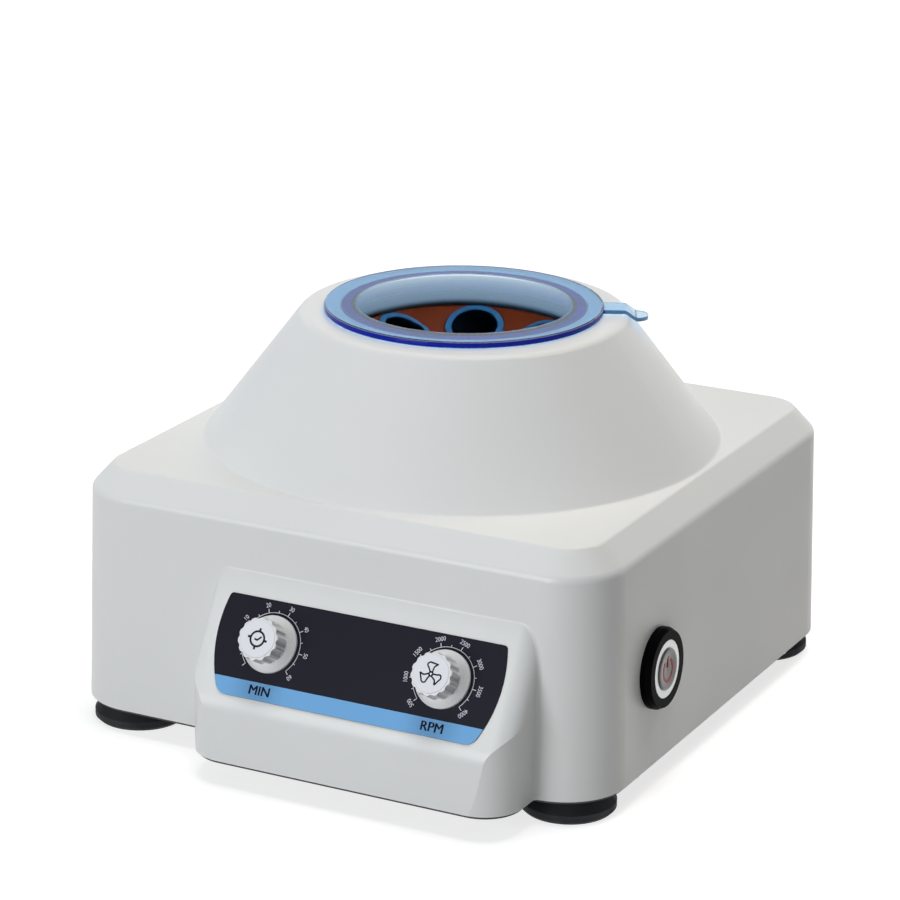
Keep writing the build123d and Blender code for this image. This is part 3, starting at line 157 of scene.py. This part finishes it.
def moulded(name, color, roughness=0.38, grain=2200.0, vary=0.03, coat=0.0, specular=0.5):
    """Moulded plastic: a fine spark texture, faint clouding and uneven gloss."""
    material, tree, shader = new_tree(name)
    dress(tree, shader, color,
          clouds=noise(tree, 9.0), shades=(1 - vary, 1 + vary),
          patches=noise(tree, 24.0), gloss=(roughness - 0.05, roughness + 0.05),
          grain=noise(tree, grain, detail=2.0), relief=0.25, height=0.00003)
    put(shader, {"Specular IOR Level": specular, "Coat Weight": coat, "Coat Roughness": 0.25})
    return material


def painted_glow(name, color, strength):
    """Milky plastic with a painted glow: a faint emission that brightens it, though no lamp lights
    it.
    """
    material = moulded(name, color, roughness=0.3, coat=0.4)
    shader = material.node_tree.nodes["Principled BSDF"]
    put(shader, {"Emission Color": (*color, 1.0), "Emission Strength": strength})
    return material


# Painted shade for the sleeves' bores: how far the occlusion looks, where the darkening starts and
# ends, and how dark the painted shade gets.
BORE_REACH = 0.05
BORE_DARK = 0.45
BORE_LIGHT = 0.8
BORE_PAINTED_SHADE = 0.02


def tube_plastic_painted_shade(name, color):
    """Moulded plastic with painted shade: an occlusion factor darkens its colour deep inside its
    bores, where light does not reach; the reach is in metres.
    """
    material = moulded(name, color, roughness=0.35, specular=0.15)
    tree = material.node_tree
    # Painted shade: the colour runs from the bore's shade colour to the plain colour as the surface
    # opens up.
    cover = add(tree, "ShaderNodeAmbientOcclusion", {"Distance": BORE_REACH})
    cover.only_local = True
    openness = ramp(tree, cover.outputs["AO"], BORE_DARK, BORE_LIGHT)
    tint = blend_color(tree, openness, shade(color, BORE_PAINTED_SHADE), color)
    put(tree.nodes["Principled BSDF"], {"Base Color": tint})
    return material


def rubber(name, color):
    """Matt rubber with a dusty bloom."""
    material, tree, shader = new_tree(name)
    dress(tree, shader, color,
          clouds=noise(tree, 60.0, detail=5.0), shades=(1.0, 2.2),
          patches=noise(tree, 90.0), gloss=(0.55, 0.8),
          grain=noise(tree, 3000.0, detail=2.0), relief=0.4, height=0.00006)
    put(shader, {"Specular IOR Level": 0.3})
    return material


def metal(name, color, roughness=0.3, stretch=(1.0, 1.0, 1.0), grain=700.0):
    """Metal with fine machining or brushing lines."""
    material, tree, shader = new_tree(name)
    lines = noise(tree, grain, detail=4.0, stretch=stretch)
    dress(tree, shader, color,
          clouds=lines, shades=(0.86, 1.08),
          patches=lines, gloss=(roughness - 0.08, roughness + 0.1),
          grain=lines, relief=0.3, height=0.00002)
    put(shader, {"Metallic": 1.0})
    return material


def coated(name, color, roughness=0.42, specular=0.5):
    """Powder coat over metal: pebbled and half matt."""
    material, tree, shader = new_tree(name)
    dress(tree, shader, color,
          clouds=noise(tree, 30.0), shades=(0.85, 1.2),
          patches=noise(tree, 160.0), gloss=(roughness - 0.08, roughness + 0.08),
          grain=noise(tree, 1500.0, detail=3.0), relief=0.5, height=0.00008)
    put(shader, {"Specular IOR Level": specular})
    return material


# The lid's acrylic. Its rim is seen edge on, so its colour there is deep. The dome inside its
# flange has a stronger, bluer reflection than the flange has.

RIM_DEPTH = 1.2
RIM_FLAT = 0.95
RIM_UPRIGHT = 0.55
RIM_TRANSMISSION = 0.1
RIM_SPECULAR = 0.1
ACRYLIC_COLOR = (0.95, 0.97, 1.0)
ACRYLIC_SPECULAR = 0.5
ACRYLIC_IOR = 1.49
ACRYLIC_SMEARS = 35.0
ACRYLIC_GLOSS = (0.0, 0.03)
ACRYLIC_SHADOW = (0.62, 0.79, 0.99, 1.0)
DOME_RADIUS = 50.0
DOME_IOR = 2.0
DOME_MIRROR = (0.15, 0.55, 1.0)


def lid_factors(tree):
    """Two factors: 1 on the upright face of the lid's rim, and 1 on the dome inside its flange."""
    place = tree.nodes.new("ShaderNodeTexCoord")
    level = {0: place.outputs["Object"], 1: (1.0, 1.0, 0.0)}
    flat = add(tree, "ShaderNodeVectorMath", level, "MULTIPLY")
    reach = length(tree, flat.outputs["Vector"])
    rim_start, rim_end = LID_RADIUS - RIM_DEPTH, LID_RADIUS - RIM_DEPTH / 2
    tab_start, tab_end = LID_RADIUS + RIM_DEPTH / 4, LID_RADIUS + RIM_DEPTH / 2
    outside = ramp(tree, reach, rim_start * MM, rim_end * MM)
    not_tab = ramp(tree, reach, tab_start * MM, tab_end * MM, 1.0, 0.0)
    normal = add(tree, "ShaderNodeSeparateXYZ", {"Vector": place.outputs["Normal"]})
    slope = combine(tree, "ABSOLUTE", normal.outputs["Z"])
    upright = ramp(tree, slope, RIM_FLAT, RIM_UPRIGHT)
    rim = combine(tree, "MULTIPLY", combine(tree, "MULTIPLY", outside, not_tab), upright)
    dome = ramp(tree, reach, DOME_RADIUS * MM, (DOME_RADIUS + RIM_DEPTH) * MM, 1.0, 0.0)
    return rim, dome


def tinted_acrylic(name, tint, density, rim_color):
    """Clear acrylic that takes its colour from its thickness and lets coloured light through."""
    material, tree, shader = new_tree(name)
    rim, dome = lid_factors(tree)
    smears = noise(tree, ACRYLIC_SMEARS)
    put(shader, {
        "Base Color": blend_color(tree, rim, ACRYLIC_COLOR, rim_color),
        "Transmission Weight": between(tree, rim, 1.0, RIM_TRANSMISSION),
        "Specular IOR Level": between(tree, rim, ACRYLIC_SPECULAR, RIM_SPECULAR),
        "IOR": between(tree, dome, ACRYLIC_IOR, DOME_IOR),
        "Specular Tint": blend_color(tree, dome, WHITE, DOME_MIRROR),
        "Roughness": ramp(tree, smears, NOISE_LOW, NOISE_HIGH, *ACRYLIC_GLOSS)})
    inside = add(tree, "ShaderNodeVolumeAbsorption", {"Color": (*tint, 1.0), "Density": density})
    rays = tree.nodes.new("ShaderNodeLightPath")
    clear = add(tree, "ShaderNodeBsdfTransparent", {"Color": ACRYLIC_SHADOW})
    mix = add(tree, "ShaderNodeMixShader", {
        "Fac": rays.outputs["Is Shadow Ray"], 1: shader.outputs["BSDF"], 2: clear.outputs["BSDF"]})
    put(tree.nodes["Material Output"], {
        "Surface": mix.outputs["Shader"], "Volume": inside.outputs["Volume"]})
    return material


# Materials

housing_white = moulded("housing_white", (0.78, 0.785, 0.765), roughness=0.42, coat=0.1)
knob_white = moulded("knob_white", (0.80, 0.80, 0.785), roughness=0.30, coat=0.4)
cap_white = moulded("cap_white", (0.80, 0.815, 0.84), roughness=0.45)
label_black = moulded(
    "label_black", (0.0110, 0.0100, 0.0185), roughness=0.42, grain=4000.0, vary=0.15, specular=0.12)
band_blue = moulded("band_blue", (0.17, 0.42, 0.74), roughness=0.42, grain=4000.0, specular=0.2)
print_white = moulded("print_white", (0.66, 0.67, 0.72), roughness=0.5, specular=0.2)
print_black = moulded("print_black", (0.012, 0.016, 0.035), roughness=0.5, specular=0.1)
icon_black = moulded("icon_black", (0.022, 0.022, 0.027), roughness=0.5, specular=0.1)
switch_black = moulded("switch_black", (0.003, 0.003, 0.004), roughness=0.28, specular=0.01)
inlet_black = moulded("inlet_black", (0.012, 0.012, 0.014), roughness=0.4)
# The switch's light ring has a painted glow from its emission.
ring_white = painted_glow("ring_white", (0.74, 0.76, 0.76), strength=0.32)
button_grey = moulded("button_grey", (0.085, 0.08, 0.077), roughness=0.16, coat=0.15)
power_red = moulded("power_red", (0.46, 0.012, 0.02), roughness=0.35, specular=0.2)
foot_rubber = rubber("foot_rubber", (0.008, 0.008, 0.009))
seal_rubber = rubber("seal_rubber", (0.018, 0.018, 0.02))
cushion_rubber = rubber("cushion_rubber", (0.02, 0.02, 0.022))
gasket_violet = rubber("gasket_violet", (0.08, 0.085, 0.36))
black_coat = coated("black_coat", (0.018, 0.018, 0.020))
rotor_brown = coated("rotor_brown", (0.43, 0.044, 0.005), roughness=0.40, specular=0.12)
steel = metal("steel", (0.62, 0.62, 0.63), roughness=0.28)
bowl_steel = metal("bowl_steel", (0.60, 0.61, 0.63), roughness=0.32, stretch=(1.0, 1.0, 9.0))
motor_steel = metal("motor_steel", (0.42, 0.43, 0.45), roughness=0.35)
cast_alloy = metal("cast_alloy", (0.60, 0.60, 0.61), roughness=0.48, grain=250.0)
lamination = metal("lamination", (0.26, 0.26, 0.28), roughness=0.45, stretch=(1.0, 1.0, 8.0))
copper = metal("copper", (0.75, 0.34, 0.18), roughness=0.25)
nickel = metal("nickel", (0.70, 0.69, 0.66), roughness=0.22)
sink_black = metal("sink_black", (0.08, 0.08, 0.09), roughness=0.4)
sleeve_blue = tube_plastic_painted_shade("sleeve_blue", (0.10, 0.27, 0.43))
dark_plastic = moulded("dark_plastic", (0.03, 0.032, 0.04), roughness=0.4)
brown_plastic = moulded("brown_plastic", (0.08, 0.035, 0.02), roughness=0.4)
carbon = coated("carbon", (0.02, 0.02, 0.02), roughness=0.55)
board_green = moulded("board_green", (0.02, 0.14, 0.05), roughness=0.3)
capacitor_blue = moulded("capacitor_blue", (0.02, 0.03, 0.10), roughness=0.3)
acrylic_blue = tinted_acrylic(
    "acrylic_blue", tint=(0.04, 0.40, 0.58), density=245.0, rim_color=(0.001, 0.012, 0.34))

SLEEVE_COUNT = 6
material_nodes = [
    (housing_white, ["upper_housing"]),
    (black_coat, ["base_plate"]),
    (foot_rubber, ["rubber_feet"]),
    (seal_rubber, ["bowl_seal", "shaft_boot", "motor_dampers"]),
    (cushion_rubber, ["sleeve_cushions"]),
    (gasket_violet, ["lid_gasket"]),
    (acrylic_blue, ["lid"]),
    (rotor_brown, ["rotor_head"]),
    (sleeve_blue, [f"tube_sleeve_{number}" for number in range(1, SLEEVE_COUNT + 1)]),
    (bowl_steel, ["chamber_bowl"]),
    (steel, ["foot_screws", "foot_nuts", "housing_screws", "bowl_posts", "bowl_screws",
             "motor_bolts", "lower_bearing", "upper_bearing", "inlet_screws", "board_standoffs",
             "motor_shaft", "time_shaft", "speed_shaft"]),
    (motor_steel, ["motor_plate", "motor_can"]),
    (cast_alloy, ["motor_lower_cap", "motor_upper_cap"]),
    (lamination, ["field_stator", "armature", "transformer"]),
    (copper, ["commutator"]),
    (nickel, ["rotor_nut", "panel_nuts", "inlet_pins"]),
    (sink_black, ["heat_sink"]),
    (dark_plastic, ["timer", "speed_potentiometer", "switch_block", "cooling_fan"]),
    (brown_plastic, ["brush_holders"]),
    (carbon, ["carbon_brushes"]),
    (board_green, ["circuit_board"]),
    (capacitor_blue, ["capacitors"]),
    (label_black, ["control_label"]),
    (knob_white, ["time_knob", "speed_knob"]),
    (cap_white, ["time_knob_cap", "speed_knob_cap"]),
    (switch_black, ["switch_bezel", "switch_nut"]),
    (ring_white, ["switch_light_ring"]),
    (button_grey, ["power_button"]),
    (inlet_black, ["mains_inlet"]),
]
for material, nodes in material_nodes:
    for node in nodes:
        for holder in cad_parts[node].material_slots:
            holder.material = material


# Camera

AZIMUTH, ELEVATION, ROLL = radians(27.145), radians(18.358), radians(0.59)
CAMERA_PLACE = Vector((738.475, -1453.122, 656.199)) * MM
LENS = 146.71


def camera_matrix():
    """The camera's place and turn, from its azimuth, elevation and roll."""
    back = Vector((sin(AZIMUTH) * cos(ELEVATION), -cos(AZIMUTH) * cos(ELEVATION), sin(ELEVATION)))
    level = Vector((cos(AZIMUTH), sin(AZIMUTH), 0.0))
    raised = back.cross(level)
    right = cos(ROLL) * level + sin(ROLL) * raised
    up = cos(ROLL) * raised - sin(ROLL) * level
    return Matrix.Translation(CAMERA_PLACE) @ Matrix((right, up, back)).transposed().to_4x4()


camera_data = bpy.data.cameras.new("camera")
camera_data.lens = LENS
camera = bpy.data.objects.new("camera", camera_data)
camera.matrix_world = camera_matrix()
bpy.context.scene.collection.objects.link(camera)
bpy.context.scene.camera = camera


# Lamps; their places and sizes are in metres

AIM = Vector((0.0, 0.0, 0.1))
LAMP_DISTANCE = 2.6
LAMP_SIZE = 1.2


def lamp(name, azimuth, elevation, power, color, mirrored):
    """A square soft box on a sphere round the object, turned towards it; angles are in degrees."""
    a, e = radians(azimuth), radians(elevation)
    outward = Vector((cos(e) * cos(a), cos(e) * sin(a), sin(e)))
    data = bpy.data.lights.new(name, "AREA")
    data.shape = "SQUARE"
    data.size = LAMP_SIZE
    data.energy = power
    data.color = color
    box = bpy.data.objects.new(name, data)
    box.location = AIM + outward * LAMP_DISTANCE
    box.visible_glossy = mirrored
    box.rotation_euler = (-outward).to_track_quat("-Z", "Y").to_euler()
    bpy.context.scene.collection.objects.link(box)


lamp("front", azimuth=-105.0, elevation=12.0, power=33.2, color=(0.94, 0.96, 1.0), mirrored=True)
lamp("top", azimuth=0.0, elevation=88.0, power=41.0, color=(0.98, 0.985, 1.0), mirrored=False)
lamp("back", azimuth=75.0, elevation=48.0, power=25.5, color=(1.0, 0.89, 0.77), mirrored=False)


# World and floor. Seen directly or in a mirror they are white, apart from a ceiling that is dark
# in mirrors; scattered light finds them dim.

WORLD_AMBIENT = 0.085
HORIZON_WHITE = 1.0
SKY_TINT = (0.78, 0.90, 1.0)
CEILING_GREY = 0.0
CEILING_START = sin(radians(24.0))
CEILING_END = sin(radians(27.5))


def seen_rays(tree):
    """1 for rays that show a colour directly, in a mirror or through glass, 0 for others."""
    rays = tree.nodes.new("ShaderNodeLightPath")
    total = rays.outputs["Is Camera Ray"]
    for key in ("Is Glossy Ray", "Is Transmission Ray"):
        total = combine(tree, "MAXIMUM", total, rays.outputs[key])
    unscattered = combine(tree, "LESS_THAN", rays.outputs["Diffuse Depth"], 0.5)
    return combine(tree, "MULTIPLY", total, unscattered)


def light_world():
    """White behind the object, a dark ceiling in its mirror reflections and a bluish fill."""
    world = bpy.data.worlds.new("world")
    bpy.context.scene.world = world
    world.use_nodes = True
    sky = world.node_tree
    camera_rays = sky.nodes.new("ShaderNodeLightPath").outputs["Is Camera Ray"]
    place = sky.nodes.new("ShaderNodeTexCoord")
    rise = add(sky, "ShaderNodeSeparateXYZ", {"Vector": place.outputs["Generated"]}).outputs["Z"]
    ceiling = ramp(sky, rise, CEILING_START, CEILING_END, HORIZON_WHITE, CEILING_GREY)
    shown = combine(sky, "MAXIMUM", ceiling, camera_rays)
    put(sky.nodes["Background"], {
        "Color": blend_color(sky, camera_rays, SKY_TINT, WHITE),
        "Strength": between(sky, seen_rays(sky), WORLD_AMBIENT, shown)})


light_world()

FLOOR_HALF = 4.0
FLOOR_GREY = 0.45
FLOOR_ROUGHNESS = 0.9
FLOOR_GLOW = 0.75
FLOOR_NEAR = 0.7
FLOOR_FAR = 2.2


def lay_floor():
    """A pale floor that glows less round the object, where its shadow has to show; in metres."""
    mesh = bpy.data.meshes.new("floor")
    corners = [(-FLOOR_HALF, -FLOOR_HALF, 0.0), (FLOOR_HALF, -FLOOR_HALF, 0.0)]
    corners += [(FLOOR_HALF, FLOOR_HALF, 0.0), (-FLOOR_HALF, FLOOR_HALF, 0.0)]
    mesh.from_pydata(corners, [], [(0, 1, 2, 3)])
    floor = bpy.data.objects.new("floor", mesh)
    bpy.context.scene.collection.objects.link(floor)
    material, tree, shader = new_tree("floor_pale")
    place = tree.nodes.new("ShaderNodeTexCoord")
    reach = length(tree, place.outputs["Object"])
    glow = ramp(tree, reach, FLOOR_NEAR, FLOOR_FAR, FLOOR_GLOW, 1.0)
    put(shader, {
        "Base Color": (FLOOR_GREY, FLOOR_GREY, FLOOR_GREY, 1.0),
        "Roughness": FLOOR_ROUGHNESS,
        "Specular IOR Level": 0.0,
        "Emission Color": (*WHITE, 1.0),
        "Emission Strength": combine(tree, "MULTIPLY", seen_rays(tree), glow)})
    mesh.materials.append(material)


lay_floor()
bpy.context.scene.view_settings.view_transform = "Standard"


# Printed marks

LETTER_STEPS = 3
WELD_DISTANCE = 1e-7


def plane_matrix(origin, across, normal):
    """The matrix of a flat place, with X across it and Z out of it."""
    across, normal = across.normalized(), normal.normalized()
    turn = Matrix((across, normal.cross(across), normal)).transposed().to_4x4()
    return Matrix.Translation(origin) @ turn


class Print:
    """Flat marks gathered into one mesh of one height; sizes are in millimetres."""

    def __init__(self, height):
        self.mesh = bmesh.new()
        self.height = height

    def row(self, points, z):
        """New vertices at one height."""
        return [self.mesh.verts.new((x * MM, y * MM, z * MM)) for x, y in points]

    def shape(self, points):
        """A filled outline, given anticlockwise."""
        low, high = self.row(points, 0.0), self.row(points, self.height)
        self.mesh.faces.new(high)
        self.mesh.faces.new(low[::-1])
        for i in range(len(points)):
            j = (i + 1) % len(points)
            self.mesh.faces.new((low[i], low[j], high[j], high[i]))

    def bar(self, start, end, width):
        """A straight stroke."""
        (ax, ay), (bx, by) = start, end
        reach = hypot(bx - ax, by - ay)
        nx, ny = -(by - ay) / reach * width / 2, (bx - ax) / reach * width / 2
        self.shape([(ax - nx, ay - ny), (bx - nx, by - ny), (bx + nx, by + ny), (ax + nx, ay + ny)])

    def stroke(self, points, width, closed):
        """A stroke of even width along a smooth line of points."""
        inner, outer = [], []
        count = len(points)
        for i in range(count):
            before = points[i - 1] if closed or i else points[0]
            after = points[(i + 1) % count] if closed or i < count - 1 else points[-1]
            ax, ay = after[0] - before[0], after[1] - before[1]
            reach = hypot(ax, ay)
            nx, ny = -ay / reach * width / 2, ax / reach * width / 2
            inner.append((points[i][0] + nx, points[i][1] + ny))
            outer.append((points[i][0] - nx, points[i][1] - ny))
        low_in, low_out = self.row(inner, 0.0), self.row(outer, 0.0)
        high_in, high_out = self.row(inner, self.height), self.row(outer, self.height)
        for i in range(count if closed else count - 1):
            j = (i + 1) % count
            self.mesh.faces.new((high_in[i], high_out[i], high_out[j], high_in[j]))
            self.mesh.faces.new((low_in[j], low_out[j], low_out[i], low_in[i]))
            self.mesh.faces.new((low_out[i], low_out[j], high_out[j], high_out[i]))
            self.mesh.faces.new((low_in[j], low_in[i], high_in[i], high_in[j]))
        if not closed:
            self.mesh.faces.new((low_in[0], low_out[0], high_out[0], high_in[0]))
            self.mesh.faces.new((low_out[-1], low_in[-1], high_in[-1], high_out[-1]))

    def arc(self, center, radius, width, start=0.0, end=360.0, steps=48):
        """A curved stroke between two angles in degrees, or a whole ring."""
        closed = abs(end - start) >= 360
        count = steps if closed else steps + 1
        angles = [radians(start + (end - start) * i / steps) for i in range(count)]
        points = [(center[0] + radius * cos(a), center[1] + radius * sin(a)) for a in angles]
        self.stroke(points, width, closed)

    def words(self, text, center, size, turn=0.0, width=1.0):
        """Letters or figures, centred on a point and turned by degrees."""
        curve = bpy.data.curves.new("words", "FONT")
        curve.body = text
        curve.size = size * MM
        curve.align_x = "CENTER"
        curve.align_y = "CENTER"
        curve.extrude = self.height * MM / 2
        curve.resolution_u = LETTER_STEPS
        holder = bpy.data.objects.new("words", curve)
        bpy.context.scene.collection.objects.link(holder)
        shown = holder.evaluated_get(bpy.context.evaluated_depsgraph_get())
        letters = bpy.data.meshes.new_from_object(shown)
        move = Matrix.Translation((center[0] * MM, center[1] * MM, self.height * MM / 2))
        squeeze = Matrix.Diagonal((width, 1.0, 1.0, 1.0))
        letters.transform(move @ Matrix.Rotation(radians(turn), 4, "Z") @ squeeze)
        self.mesh.from_mesh(letters)
        bpy.data.objects.remove(holder)

    def piece(self, name, matrix, material, body):
        """The finished piece, put in place and riding on its body."""
        bmesh.ops.remove_doubles(self.mesh, verts=self.mesh.verts, dist=WELD_DISTANCE)
        bmesh.ops.recalc_face_normals(self.mesh, faces=self.mesh.faces)
        data = bpy.data.meshes.new(name)
        self.mesh.to_mesh(data)
        self.mesh.free()
        data.transform(matrix)
        data.materials.append(material)
        result = bpy.data.objects.new(name, data)
        bpy.context.scene.collection.objects.link(result)
        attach(result, body)


ACROSS = Vector((1.0, 0.0, 0.0))
face_normal = Vector((0.0, -cos(FACE_TILT), sin(FACE_TILT)))
face_up = Vector((0.0, sin(FACE_TILT), cos(FACE_TILT)))
face_point = Vector((POD_CENTER_X, -WALL_HALF - FACE_SETOUT, EDGE_HEIGHT + FACE_HEIGHT)) * MM
label_place = plane_matrix(face_point + face_normal * LABEL_THICKNESS * MM, ACROSS, face_normal)


# The two dial scales

SCALE_FILM = 0.06
SCALE_RADIUS = 14.4
SCALE_LINE = 0.25
SCALE_ARC_STEPS = 72
TICK_LONG = 1.9
TICK_SHORT = 1.0
TICK_LINE = 0.32
FIGURE_RADIUS = 17.9
FIGURE_SIZE = 2.9
FIGURE_WIDTH = 0.86
SCALE_STEP = 38.57
SCALE_START = 225.0
SCALE_POINTS = 8
TIMES = [str(10 * n) for n in range(1, 7)]
SPEEDS = [str(500 * n) for n in range(1, 9)]


def dial_scale(marks, side, names, first_named):
    """An arc, ticks at even steps, half ticks between them and figures that follow the arc."""
    cx, cy = center = (side * DIAL_OFFSET, DIAL_Y)
    scale_end = SCALE_START - (SCALE_POINTS - 1) * SCALE_STEP
    marks.arc(center, SCALE_RADIUS, SCALE_LINE, scale_end, SCALE_START, SCALE_ARC_STEPS)
    for i in range(2 * SCALE_POINTS - 1):
        a = radians(SCALE_START - i * SCALE_STEP / 2)
        outer = SCALE_RADIUS + (TICK_SHORT if i % 2 else TICK_LONG)
        foot = (cx + SCALE_RADIUS * cos(a), cy + SCALE_RADIUS * sin(a))
        marks.bar(foot, (cx + outer * cos(a), cy + outer * sin(a)), TICK_LINE)
    for i, text in enumerate(names):
        degrees = SCALE_START - (i + first_named) * SCALE_STEP
        a = radians(degrees)
        point = (cx + FIGURE_RADIUS * cos(a), cy + FIGURE_RADIUS * sin(a))
        marks.words(text, point, FIGURE_SIZE, degrees - 90.0, FIGURE_WIDTH)


scales = Print(SCALE_FILM)
dial_scale(scales, side=-1, names=TIMES, first_named=2)
dial_scale(scales, side=1, names=SPEEDS, first_named=0)
scales.piece("dial_scales", label_place, print_white, "housing")


# The units under them, made bold by shifted copies

UNIT_FILM = 0.12
UNIT_Y = -23.6
UNIT_SIZE = 6.0
UNIT_WEIGHT = 0.14

units = Print(UNIT_FILM)
for name, side in (("MIN", -1), ("RPM", 1)):
    for shift in (-UNIT_WEIGHT, 0.0, UNIT_WEIGHT):
        units.words(name, (side * DIAL_OFFSET + shift, UNIT_Y), UNIT_SIZE)
units.piece("unit_marks", label_place, print_black, "housing")


# The band along the label's lower edge

BAND_FILM = 0.05
BAND_TOP = -19.85
BAND_INSET = 0.1
BAND_STEPS = 16


def circle_through(a, b, c):
    """Centre and radius of the circle through three points."""
    ax, ay, bx, by, cx, cy = *a, *b, *c
    d = 2 * (ax * (by - cy) + bx * (cy - ay) + cx * (ay - by))
    sa, sb, sc = ax * ax + ay * ay, bx * bx + by * by, cx * cx + cy * cy
    x = (sa * (by - cy) + sb * (cy - ay) + sc * (ay - by)) / d
    y = (sa * (cx - bx) + sb * (ax - cx) + sc * (bx - ax)) / d
    return x, y, hypot(ax - x, ay - y)


side_x, side_y, side_radius = circle_through(
    (LABEL_TOP_HALF, LABEL_TOP), (LABEL_MID_HALF, 0.0), (LABEL_LOW_HALF, LABEL_BOTTOM))
corner_y = LABEL_BOTTOM + LABEL_CORNER
corner_reach = side_radius - LABEL_CORNER
corner_x = side_x + (corner_reach ** 2 - (corner_y - side_y) ** 2) ** 0.5
corner_start = side_y + (corner_y - side_y) * side_radius / corner_reach


def band_half_width(y):
    """Half the band's width at a height, just inside the label's bowed side and round corner."""
    if y < corner_start:
        return corner_x + (LABEL_CORNER ** 2 - (y - corner_y) ** 2) ** 0.5 - BAND_INSET
    return side_x + (side_radius ** 2 - (y - side_y) ** 2) ** 0.5 - BAND_INSET


band_foot = LABEL_BOTTOM + BAND_INSET
band_rise = BAND_TOP - LABEL_BOTTOM - BAND_INSET
band_heights = [band_foot + band_rise * (i / BAND_STEPS) ** 2 for i in range(BAND_STEPS + 1)]
band_edge = [(band_half_width(y), y) for y in band_heights]
band = Print(BAND_FILM)
band.shape(band_edge + [(-x, y) for x, y in reversed(band_edge)])
band.piece("label_band", label_place, band_blue, "housing")


# Pictograms on the knob caps

CAP_FILM = 0.08
CAP_MIDDLE = (0.0, 0.0)


def cap_place(side):
    """The top of a knob's cap."""
    top = LABEL_THICKNESS + KNOB_GAP + KNOB_HEIGHT + CAP_PROJECTION
    point = face_point + (ACROSS * side * DIAL_OFFSET + face_up * DIAL_Y + face_normal * top) * MM
    return plane_matrix(point, ACROSS, face_normal)


def polar(radius, degrees):
    """A point at a distance and an angle from the middle."""
    return radius * cos(radians(degrees)), radius * sin(radians(degrees))


def smooth_loop(corners, steps=6):
    """A closed line through the middles of a polygon's sides, curved round its corners."""
    points = []
    for i, corner in enumerate(corners):
        before, after = corners[i - 1], corners[(i + 1) % len(corners)]
        start = [(p + q) / 2 for p, q in zip(before, corner)]
        end = [(p + q) / 2 for p, q in zip(corner, after)]
        for k in range(steps):
            t = k / steps
            u, v, w = (1 - t) ** 2, 2 * t * (1 - t), t ** 2
            points.append(tuple(u * s + v * c + w * e for s, c, e in zip(start, corner, end)))
    return points


# A stopwatch: a ring, four lugs and two hands

WATCH_RADIUS = 3.35
WATCH_STROKE = 0.9
LUG_TURNS = (84.0, 174.0, 264.0, 354.0)
LUG_LENGTH = 1.5
LUG_WIDTH = 1.0
SHORT_HAND = ((-1.4, -0.15), (0.2, -0.6))
LONG_HAND = ((-0.1, -0.7), (1.9, 1.2))
HAND_STROKE = 0.75

watch = Print(CAP_FILM)
watch.arc(CAP_MIDDLE, WATCH_RADIUS, WATCH_STROKE)
for turn in LUG_TURNS:
    foot = polar(WATCH_RADIUS, turn)
    tip = polar(WATCH_RADIUS + LUG_LENGTH, turn)
    watch.bar(foot, tip, LUG_WIDTH)
watch.bar(*SHORT_HAND, HAND_STROKE)
watch.bar(*LONG_HAND, HAND_STROKE)
watch.piece("time_pictogram", cap_place(-1), icon_black, "time_dial")


# A fan: three blades round a hub. A blade's points are distances and angles from the middle.

BLADE = [(1.0, 40.0), (2.6, 30.0), (4.6, 36.0), (5.4, 18.0), (4.8, 0.0),
         (5.0, -24.0), (5.2, -30.0), (3.6, -16.0), (2.2, -18.0), (1.0, -36.0)]
BLADE_COUNT = 3
BLADE_START = 90.0
BLADE_STROKE = 0.66
HUB_RADIUS = 0.95
HUB_STEPS = 24

fan = Print(CAP_FILM)
for number in range(BLADE_COUNT):
    turn = BLADE_START + number * 360.0 / BLADE_COUNT
    fan.stroke(smooth_loop([polar(r, turn + a) for r, a in BLADE]), BLADE_STROKE, True)
fan.arc(CAP_MIDDLE, HUB_RADIUS, BLADE_STROKE, steps=HUB_STEPS)
fan.piece("speed_pictogram", cap_place(1), icon_black, "speed_dial")


# Power mark on the button: an open ring and an upright bar

POWER_RELIEF = 0.25
POWER_CENTER = (0.0, -0.4)
POWER_RADIUS = 5.0
POWER_STROKE = 1.3
POWER_START = -235.0
POWER_END = 55.0
POWER_ARC_STEPS = 40
POWER_BAR = ((0.0, 0.8), (0.0, 6.2))

switch_normal = Vector((cos(WALL_DRAFT), 0.0, sin(WALL_DRAFT)))
switch_x = WALL_HALF - SWITCH_HEIGHT * tan(WALL_DRAFT)
switch_point = Vector((switch_x, SWITCH_SETBACK - WALL_HALF, EDGE_HEIGHT + SWITCH_HEIGHT)) * MM
button_face = switch_point + switch_normal * (BUTTON_FRONT - BUTTON_DISH) * MM
power_place = plane_matrix(button_face, Vector((0.0, 1.0, 0.0)), switch_normal)

power = Print(POWER_RELIEF)
power.arc(POWER_CENTER, POWER_RADIUS, POWER_STROKE, POWER_START, POWER_END, POWER_ARC_STEPS)
power.bar(*POWER_BAR, POWER_STROKE)
power.piece("power_mark", power_place, power_red, "button")
